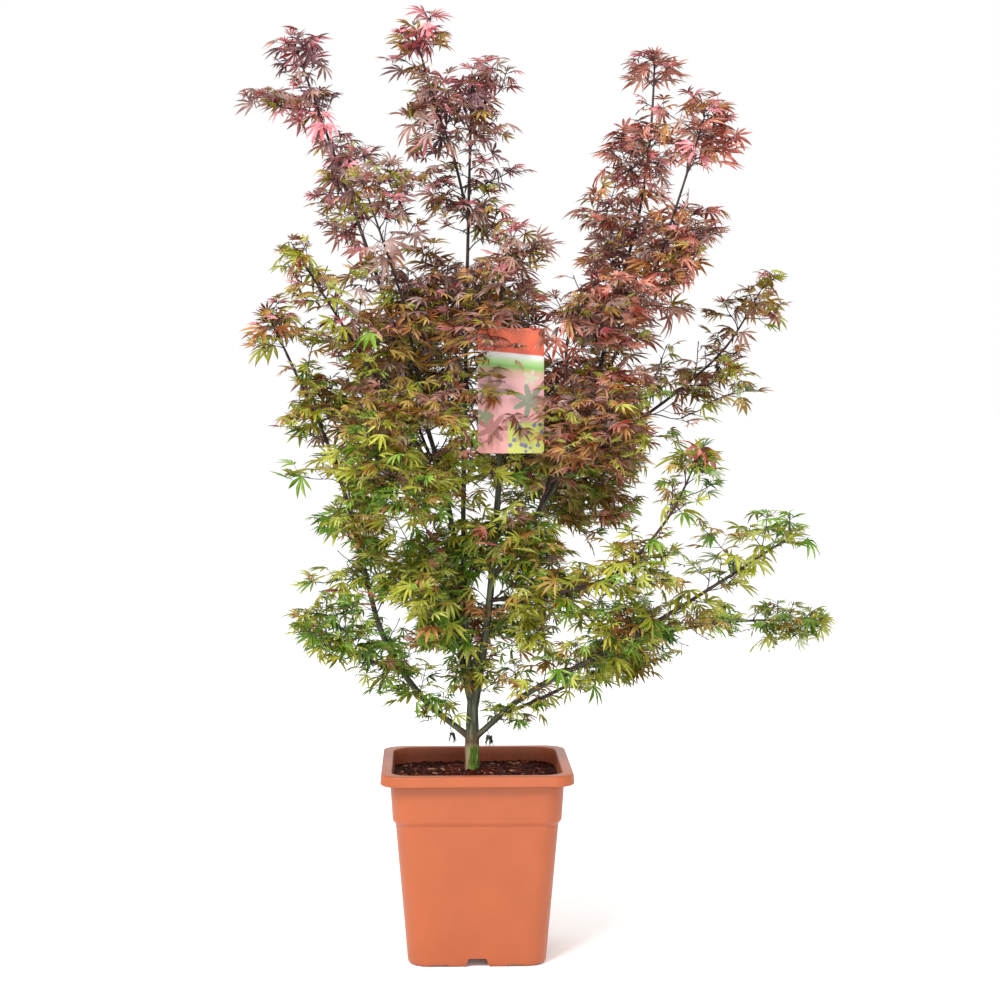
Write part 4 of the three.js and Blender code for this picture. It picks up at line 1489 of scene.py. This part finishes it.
for twig in twigs:
    tip = Vector(twig["path"][-1])
    size = leaf_rng.uniform(0.72, 1.08) * (0.8 if tip.z < LOW_DOWN else 1)
    leafy(twig["path"], tint_for(tip, leaf_rng), size, twig["pairs"])
    tip_leaves(tip, (tip - Vector(twig["path"][-2])).normalized(), size)
print(sum(len(leaves) for leaves in placed.values()), "leaves on the twigs")

# %% Tufts at the tips of the limbs and leaves at their nodes
TUFT_LEVELS = 5
TUFT_APART = 8 * MM
LEAFY_LIMB_RADIUS = 4 * MM

for name, line in limbs.items():
    if name == "trunk":
        continue
    tip = Vector(line["path"][-1])
    heading = (tip - Vector(line["path"][-3])).normalized()
    tint = tint_for(tip, leaf_rng)
    for level in range(TUFT_LEVELS):
        node = tip - heading * level * TUFT_APART
        leaf_pair(node, heading, level, 0.55 + 0.1 * level, 16 * level - 48, tint,
                  small=level < 3, missing=0)
for name, index, node, heading, _, leafy_here in limb_nodes:
    thin = limbs[name]["radius"][index] < LEAFY_LIMB_RADIUS
    if thin and leaf_rng.random() < (0.6 if leafy_here else 0.2):
        tint = tint_for(node, leaf_rng)
        leaf_pair(node, heading, index, leaf_rng.uniform(0.8, 1.1), 24, tint, missing=0.3)
print(sum(len(leaves) for leaves in placed.values()), "leaves")

# %% Leaves as joined meshes, one for each tint
SLOTS = {
    "red_leaves": ("pink", "wine", "plum", "mauve", "brick"),
    "rust_leaves": ("umber", "rust", "bronze"),
    "green_leaves": ("olive", "gold", "leaf", "deep", "sage"),
}
for slot, tints in SLOTS.items():
    for tint in tints:
        blocks = [(shape[0] @ turn.T + hub, shape[1]) for shape, turn, hub in placed[tint]]
        name = tint + "_leaves"
        mesh = joined_mesh(name, blocks, smooth_angle=24)
        part_of_plant(add_object(name, mesh, leaf_material(tint, TINTS[tint])), slot)
for kind, wood in shoot_woods.items():
    mesh = joined_mesh(kind + "_leaf_stalks", stalks[kind], smooth_angle=130)
    part_of_plant(add_object(kind + "_leaf_stalks", mesh, wood), "bark")

# %% Which leaves stand for which mass
NEAR_MIDDLE = 70 * MM

for name, (low, high) in masses.items():
    middle = (low + high) / 2
    near = {
        tint: sum((Vector(hub) - middle).length < NEAR_MIDDLE for *_, hub in leaves)
        for tint, leaves in placed.items()
    }
    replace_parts(bpy.data.objects[max(near, key=near.get) + "_leaves"], name)
print(len(masses), "masses, each replaced by the leaves of the tint that is commonest in it")

# %% [markdown]
# ## The hanging card
#
# The label is a card of printed plastic on a strap that loops round a stem. Its print is generic:
# a warm header, a white band, a green fade, a pale pink field of soft round petals, and a small
# yellow-green panel with dots. The bands read the height on the card, the petals are rosettes
# whose rims follow a cosine, and the dots are a Voronoi pattern.

# %% Card shape
card_low, card_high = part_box("plant_label")
CARD_HEIGHT = 170 * MM
CARD_THICKNESS = 1.0 * MM
CARD_CORNER = 4 * MM
CARD_BOW = 3 * MM
CARD_CELLS = (10, 18)
card_middle_x = (card_low.x + card_high.x) / 2
card_half = (card_high.x - card_low.x) / 2
card_top = card_low.z + CARD_HEIGHT

card_bm = bmesh.new()
bmesh.ops.create_grid(card_bm, x_segments=1, y_segments=1, size=0.5)
for vert in card_bm.verts:
    vert.co.x *= 2 * card_half
    vert.co.y *= CARD_HEIGHT
bmesh.ops.bevel(
    card_bm, geom=card_bm.verts[:], offset=CARD_CORNER, affect="VERTICES", segments=5,
    profile=0.5, material=-1,
)
for axis, (cells, length) in enumerate(zip(CARD_CELLS, (2 * card_half, CARD_HEIGHT))):
    normal = Vector((1 - axis, axis, 0))
    for cell in range(1, cells):
        geometry = card_bm.verts[:] + card_bm.edges[:] + card_bm.faces[:]
        bmesh.ops.bisect_plane(
            card_bm, geom=geometry, plane_co=normal * (cell / cells - 0.5) * length, plane_no=normal
        )
bmesh.ops.rotate(card_bm, verts=card_bm.verts[:], matrix=Matrix.Rotation(math.pi / 2, 3, "X"))
bmesh.ops.translate(
    card_bm, verts=card_bm.verts[:],
    vec=(card_middle_x, card_low.y + CARD_THICKNESS, card_top - CARD_HEIGHT / 2),
)
for vert in card_bm.verts:
    across = (vert.co.x - card_middle_x) / card_half
    down = (card_top - vert.co.z) / CARD_HEIGHT
    vert.co.y += CARD_BOW * (across**2 - 0.6 * down**2)
bmesh.ops.solidify(card_bm, geom=card_bm.faces[:], thickness=CARD_THICKNESS)
card_mesh = mesh_from(card_bm, "printed_card", smooth_angle=40)
print("card", round(2 * card_half / MM), "by", round(CARD_HEIGHT / MM), "mm")

# %% Bands
card_width = 2 * card_half

printed, tree, shader = new_material("printed_polypropylene_card")
place = add_node(tree, "TexCoord", output="Object")
on_card = add_node(tree, "Mapping", {
    "Vector": place,
    "Location": (-card_low.x / card_width, 0, -card_low.z / CARD_HEIGHT),
    "Scale": (1 / card_width, 1, 1 / CARD_HEIGHT),
})
card_across = add_node(tree, "SeparateXYZ", {0: on_card}, "X")
card_up = add_node(tree, "SeparateXYZ", {0: on_card}, "Z")
slope = add_node(
    tree, "Math", {0: card_across, 1: 0.05, 2: card_up}, operation="MULTIPLY_ADD"
)
bands = add_node(tree, "ValToRGB", {"Fac": slope}, stops=[
    (0.0, "#C78B85"), (0.6, "#CF9D9E"), (0.68, "#BD9A83"), (0.72, "#77AA51"), (0.77, "#AAC68F"),
    (0.8, "#D2D2CF"), (0.822, "#D2D2CF"), (0.83, "#C9533A"), (1.0, "#CC6040"),
])

# %% Petals
ROSETTES = [
    # across and up on the card, radius in m, petals, colour
    (0.22, 0.50, 21 * MM, 7, "#9A7A74"),
    (0.78, 0.42, 24 * MM, 7, "#7F8472"),
    (0.22, 0.20, 23 * MM, 7, "#A06A66"),
    (0.80, 0.60, 12 * MM, 5, "#B8B399"),
    (0.10, 0.30, 13 * MM, 5, "#798365"),
]


def rosette(across, up, size, petals):
    """A share that is one inside a rosette round a place on the card."""
    wide, tall = card_width / size, CARD_HEIGHT / size
    offset = add_node(tree, "Mapping", {
        "Vector": on_card, "Location": (-across * wide, 0, -up * tall), "Scale": (wide, 0, tall),
    })
    x, z = [add_node(tree, "SeparateXYZ", {0: offset}, axis) for axis in "XZ"]
    turn = add_node(tree, "Math", {0: z, 1: x}, operation="ARCTAN2")
    wave = add_node(tree, "Math", {0: turn, 1: petals}, operation="MULTIPLY")
    wave = add_node(tree, "Math", {0: wave}, operation="COSINE")
    rim = add_node(tree, "Math", {0: wave, 1: 0.3, 2: 0.7}, operation="MULTIPLY_ADD")
    away = add_node(tree, "VectorMath", {0: offset}, "Value", operation="LENGTH")
    past = add_node(tree, "Math", {0: away, 1: rim}, operation="SUBTRACT")
    return add_node(tree, "MapRange", {"Value": past, "From Min": 0.06, "From Max": -0.06})


petals_drawn = [(rosette(*shape), colour) for *shape, colour in ROSETTES]
print(len(petals_drawn), "rosettes")

# %% Panel of dots
DOTS_APART = 9 * MM

low = add_node(tree, "Math", {0: card_up, 1: 0.25}, operation="LESS_THAN")
right = add_node(tree, "Math", {0: card_across, 1: 0.45}, operation="GREATER_THAN")
panel = add_node(tree, "Math", {0: low, 1: right}, operation="MULTIPLY")
dots = add_node(
    tree, "TexVoronoi", {"Vector": place, "Scale": 1 / DOTS_APART, "Randomness": 0.9}
)
dot_share = add_node(tree, "MapRange", {"Value": dots, "From Min": 0.4, "From Max": 0.3})
panel_colour = painted(tree, "#A9AE58", (dot_share, "#6A6280"))
set_inputs(shader, {
    "Base Color": painted(tree, bands, *petals_drawn, (panel, panel_colour)),
    "Roughness": 0.36,
    "Specular IOR Level": 0.3,
})
part_of_plant(add_object("printed_card", card_mesh, printed), "printed_card", "plant_label")

# %% Strap
STRAP_WIDTH = 9 * MM
STRAP_WALL = 1.0 * MM
STRAP_OVERLAP = 9 * MM  # the strap is welded to the card's back over this length
LOOP_HALF = 3 * MM
LOOP_ROOM = 1.6 * MM  # between the stem and the loop
loop_height = card_high.z - LOOP_HALF
stem = limbs["centre_right_leader"]
at = int(np.abs(stem["path"][:, 2] - loop_height).argmin())
loop_middle = Vector(stem["path"][at])
loop_inner = stem["radius"][at] + LOOP_ROOM
loop_outer = loop_inner + STRAP_WALL

strap_bm = bmesh.new()
section = strap_bm.faces.new([
    strap_bm.verts.new(loop_middle + Vector((radius, 0, rise)))
    for radius, rise in ((loop_inner, -LOOP_HALF), (loop_outer, -LOOP_HALF),
                         (loop_outer, LOOP_HALF), (loop_inner, LOOP_HALF))
])
bmesh.ops.spin(
    strap_bm, geom=[section], cent=loop_middle, axis=(0, 0, 1), angle=math.tau, steps=28,
    use_merge=True,
)
inner_faces = [f for f in strap_bm.faces if f.is_valid and f is section]
bmesh.ops.delete(strap_bm, geom=inner_faces, context="FACES_ONLY")
strap_back = card_low.y + CARD_THICKNESS
box_between(
    strap_bm,
    (loop_middle.x - STRAP_WIDTH / 2, strap_back, card_top - STRAP_OVERLAP),
    (loop_middle.x + STRAP_WIDTH / 2, strap_back + STRAP_WALL, loop_height + LOOP_HALF),
)
strap = add_object("card_strap", mesh_from(strap_bm, "card_strap"), printed)
part_of_plant(strap, "printed_card")

# %% [markdown]
# ## Dead leaves
#
# A few leaves have dried on the plant: a tuft of them hangs from each of the lowest boughs beside
# the trunk, and one from a shoot on the right. They are the same leaf shapes, curled far over and
# crumpled, a few to a tuft.

# %% Dead leaves
DEAD_AT = (("lower_left_bough", 0.06), ("lower_right_bough", 0.07), ("right_bough", 0.72))
DEAD_IN_TUFT = 4
DEAD_LENGTH = 17 * MM
DEAD_STALK_RADIUS = 0.6 * MM
STAIN_SIZE = 8 * MM

dead_rng = random.Random(3)
dead_blocks = []
for name, share in DEAD_AT:
    line = limbs[name]
    node = Vector(line["path"][int(share * len(line["path"]))])
    foot = node - UP * dead_rng.uniform(11, 15) * MM
    aside = Vector((dead_rng.choice((-3, 3)) * MM, 0, 0))
    stalk, _ = smooth_path(np.array([node[:], (node.lerp(foot, 0.5) + aside)[:], foot[:]]), 3 * MM)
    dead_blocks.append(tube(stalk, [DEAD_STALK_RADIUS] * len(stalk), 4))
    for _ in range(DEAD_IN_TUFT):
        vertices, faces = leaf_shape(dead_rng, 7, 1.4, 1.2, 0.5)
        crumple = np.array([noise.noise_vector(Vector(v) * 3.1)[:] for v in vertices])
        turn = np.array(Matrix.Rotation(dead_rng.uniform(0, math.tau), 3, "Z"))
        shrivelled = (vertices * (0.6, 0.6, 0.85) + 0.3 * crumple) @ turn.T
        dead_blocks.append((shrivelled * DEAD_LENGTH + np.array(foot), faces))

dead_skin, tree, shader = new_material("dried_leaf")
place = add_node(tree, "TexCoord", output="Object")
stain = add_node(tree, "TexNoise", {"Vector": place, "Scale": 1 / STAIN_SIZE})
set_inputs(shader, {"Base Color": painted(tree, "#1E1B16", (stain, "#4A4236")), "Roughness": 0.8})
dead = add_object("dead_leaves", joined_mesh("dead_leaves", dead_blocks, 30), dead_skin)
part_of_plant(dead, "rust_leaves")

# %% Count the triangles and print both boxes
total = sum(len(piece.data.loop_triangles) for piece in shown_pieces())
visual_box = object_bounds()
print("triangles in all", total)
for side, corners in (("CAD", cad_box), ("visual", visual_box)):
    print(side, "box", [[round(c, 3) for c in corner] for corner in corners])
